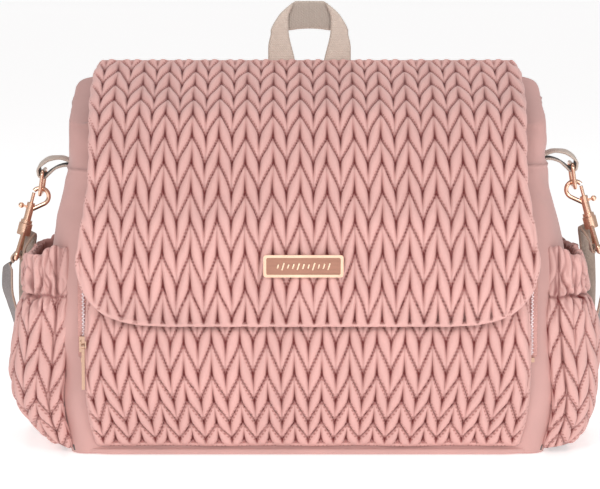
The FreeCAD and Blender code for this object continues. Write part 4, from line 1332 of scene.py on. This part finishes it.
class BAG_OT_stage(bpy.types.Operator):
    """Build the floor, lights and camera"""

    bl_idname = "bag.stage"
    bl_label = "Studio"

    def execute(self, context):
        colours = settings(context)[1]
        scene = context.scene
        data = bpy.data.meshes.new("studio_floor")
        data.from_pydata(
            [(-9, -6, 0), (9, -6, 0), (9, 14, 0), (-9, 14, 0)], [], [(0, 1, 2, 3)])
        f = Finish("Studio floor")
        cloud = f.noise(f.spot(), 3.0, 2.0)
        tint = f.mix(cloud, colours.floor, shaded(colours.floor, 0.995))
        data.materials.append(f.surface({
            "Base Color": tint, "Roughness": 0.3, "Emission Color": colours.floor,
            "Emission Strength": 0.5}))
        floor = bpy.data.objects.new("studio_floor", data)
        scene.collection.objects.link(floor)
        world = bpy.data.worlds.new("Studio")
        scene.world = world
        world.use_nodes = True
        background = world.node_tree.nodes["Background"]
        background.inputs["Color"].default_value = (1.0, 1.0, 1.0, 1.0)
        background.inputs["Strength"].default_value = 0.5
        for name, place, size, power in LAMPS:
            lamp = bpy.data.lights.new(name, "AREA")
            lamp.shape = "RECTANGLE"
            lamp.size, lamp.size_y = size
            lamp.energy = power
            item = bpy.data.objects.new(name, lamp)
            item.location = place
            aim = Vector((0, 0, 0.14)) - Vector(place)
            item.rotation_euler = aim.to_track_quat("-Z", "Y").to_euler()
            scene.collection.objects.link(item)
        scene.view_settings.view_transform = "Standard"
        camera = bpy.data.cameras.new("camera")
        camera.lens = CAMERA_LENS
        camera.sensor_width = 36.0
        camera.clip_end = 50
        item = bpy.data.objects.new("camera", camera)
        tilt = math.radians(CAMERA_TILT)
        away = Vector((0, -math.cos(tilt), math.sin(tilt)))
        item.location = Vector(CAMERA_TARGET) + CAMERA_DISTANCE * away
        item.rotation_euler = (math.pi / 2 - tilt, 0, 0)
        scene.collection.objects.link(item)
        scene.camera = item
        return {"FINISHED"}


class BAG_PT_panel(bpy.types.Panel):
    """The bag's pieces, sizes and colours"""

    bl_idname = "BAG_PT_panel"
    bl_label = "Diaper bag"
    bl_space_type = "VIEW_3D"
    bl_region_type = "UI"
    bl_category = "Bag"

    def draw(self, context):
        for operator in OPERATORS:
            self.layout.operator(operator.bl_idname)
        for group in (context.scene.bag_sizes, context.scene.bag_colours):
            for key in group.__annotations__:
                self.layout.prop(group, key)


OPERATORS = (
    BAG_OT_flap, BAG_OT_body, BAG_OT_front_pocket, BAG_OT_front_zip, BAG_OT_side_pockets,
    BAG_OT_label, BAG_OT_handle, BAG_OT_end_hardware, BAG_OT_strap, BAG_OT_hidden_parts,
    BAG_OT_stage)
CLASSES = (BagSizes, BagColours) + OPERATORS + (BAG_PT_panel,)


def register():
    for item in CLASSES:
        bpy.utils.register_class(item)
    bpy.types.Scene.bag_sizes = bpy.props.PointerProperty(type=BagSizes)
    bpy.types.Scene.bag_colours = bpy.props.PointerProperty(type=BagColours)


def unregister():
    del bpy.types.Scene.bag_colours
    del bpy.types.Scene.bag_sizes
    for item in reversed(CLASSES):
        bpy.utils.unregister_class(item)


def main():
    """Build every piece in order."""
    register()
    for operator in OPERATORS:
        group, name = operator.bl_idname.split(".")
        if getattr(getattr(bpy.ops, group), name)() != {"FINISHED"}:
            raise RuntimeError(operator.bl_label + " could not be built")


if __name__ == "__main__":
    main()
